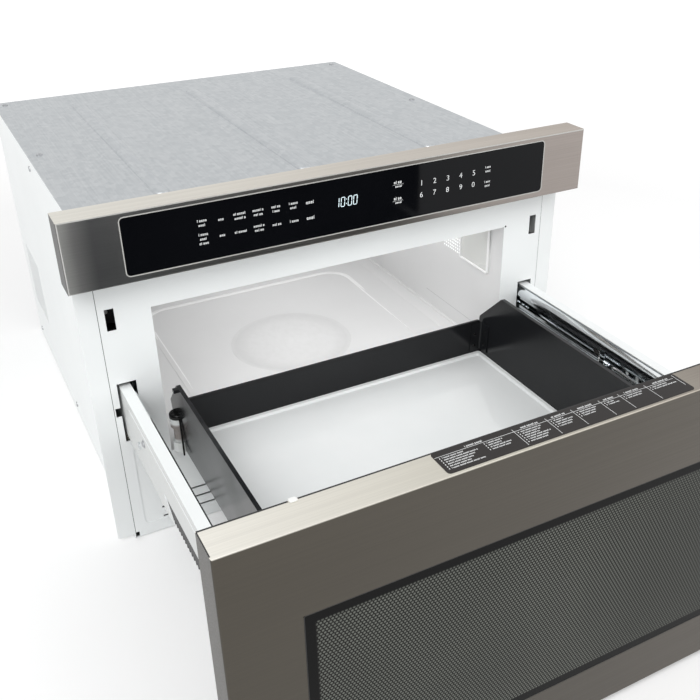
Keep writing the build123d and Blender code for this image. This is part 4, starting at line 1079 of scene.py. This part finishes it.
# ---------------- camera, floor and light
def photo_camera():
    """The camera, solved from the straight edges of the object in the photograph."""
    camera = in_scene("camera", bpy.data.cameras.new("camera"))
    camera.location = (-0.40583, -0.84366, 0.70722)
    camera.rotation_euler = [radians(angle) for angle in (60.6194, 0.6863, -27.8056)]
    camera.data.sensor_width = 36.0
    camera.data.lens = 46.556
    camera.data.shift_x = -0.02732
    camera.data.shift_y = -0.00648
    camera.data.clip_start = 0.01
    bpy.context.scene.camera = camera


def paper_floor():
    """A plain pale floor that turns white with the distance, where it is seen."""
    half, drop = 6.0, 0.001
    near, far = 1.2, 4.0
    near_glow, far_glow = 0.12, 0.8
    floor_mesh = bpy.data.meshes.new("floor")
    floor_mesh.from_pydata([(-half, -half, 0), (half, -half, 0), (half, half, 0), (-half, half, 0)],
                           [], [(0, 1, 2, 3)])
    floor = in_scene("floor", floor_mesh)
    floor.location.z = -drop

    paper = Finish("floor_paper", Roughness=0.9, Specular_IOR_Level=0.0)
    paper.colour(srgb(238, 238, 238))
    rays = paper.node("ShaderNodeLightPath")
    seen = paper.math("MAXIMUM", rays.outputs["Is Camera Ray"],
                      paper.math("MAXIMUM", rays.outputs["Is Glossy Ray"],
                                 rays.outputs["Is Transmission Ray"]))
    paper.shader.inputs["Emission Color"].default_value = (1, 1, 1, 1)
    away = paper.node("ShaderNodeVectorMath", {0: paper.place}, operation="LENGTH")
    level = paper.spread(away.outputs["Value"], near, far, near_glow, far_glow)
    paper.feed(paper.shader.inputs["Emission Strength"], paper.math("MULTIPLY", seen, level))
    floor.data.materials.append(paper.material)


def soft_world():
    """White where the camera, a gloss or a glass sees it, and a little softer as a light."""
    as_light, as_seen = 0.78, 1.0
    world = bpy.data.worlds.new("studio")
    world.use_nodes = True
    bpy.context.scene.world = world
    tree = world.node_tree
    tree.nodes.clear()
    rays = tree.nodes.new("ShaderNodeLightPath").outputs
    seen = rays["Is Camera Ray"]
    for kind in ("Is Transmission Ray", "Is Glossy Ray"):
        either = tree.nodes.new("ShaderNodeMath")
        either.operation = "MAXIMUM"
        tree.links.new(seen, either.inputs[0])
        tree.links.new(rays[kind], either.inputs[1])
        seen = either.outputs[0]
    blend = tree.nodes.new("ShaderNodeMixShader")
    tree.links.new(seen, blend.inputs["Fac"])
    for socket, strength in ((1, as_light), (2, as_seen)):
        backdrop = tree.nodes.new("ShaderNodeBackground")
        backdrop.inputs["Color"].default_value = (1, 1, 1, 1)
        backdrop.inputs["Strength"].default_value = strength
        tree.links.new(backdrop.outputs[0], blend.inputs[socket])
    output = tree.nodes.new("ShaderNodeOutputWorld")
    tree.links.new(blend.outputs[0], output.inputs["Surface"])


def lamp(name, place, power, width, depth=None, facing=None):
    """An area lamp that faces down unless told otherwise, square unless it has a depth."""
    made = in_scene(name, bpy.data.lights.new(name, "AREA"))
    made.location = place
    made.data.energy = power
    made.data.size = width
    if depth:
        made.data.shape = "RECTANGLE"
        made.data.size_y = depth
    if facing is not None:
        made.rotation_euler = Vector(facing).to_track_quat("-Z", "Y").to_euler()
    return made


def studio_lamps():
    """Two large soft lamps in front of the object."""
    aim = Vector((0, -0.1, 0.25))
    width = 1.6
    for name, place, power in (("key", (-1.3, -1.5, 2.2), 36.0), ("fill", (1.6, -1.2, 1.5), 12.0)):
        lamp(name, place, power, width, facing=aim - Vector(place))


def inner_lamps():
    """Weak lamps in the cavity and before the plate, left out of view and reflections."""
    roof_low, roof_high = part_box("cavity_roof_panel")
    window_low, window_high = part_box("lamp_window")
    under_roof = (0.035, (roof_low.y + roof_high.y) / 2, roof_low.z - 0.004)
    before_vent = (window_low.x - 0.045, window_high.y + 0.026, window_low.z + 0.03)
    before_plate = (0.0, -0.17, 0.23)
    lamps = (lamp("cavity_light", under_roof, 0.38, 0.34, 0.36),
             lamp("vent_light", before_vent, 0.004, 0.02, facing=(1, 0, 0)),
             lamp("plate_light", before_plate, 0.17, 0.40, 0.06, facing=(0, 0.6, 0.8)))
    for made in lamps:
        made.visible_camera = False
        made.visible_glossy = False


photo_camera()
paper_floor()
soft_world()
studio_lamps()
inner_lamps()
bpy.context.scene.view_settings.view_transform = "Standard"
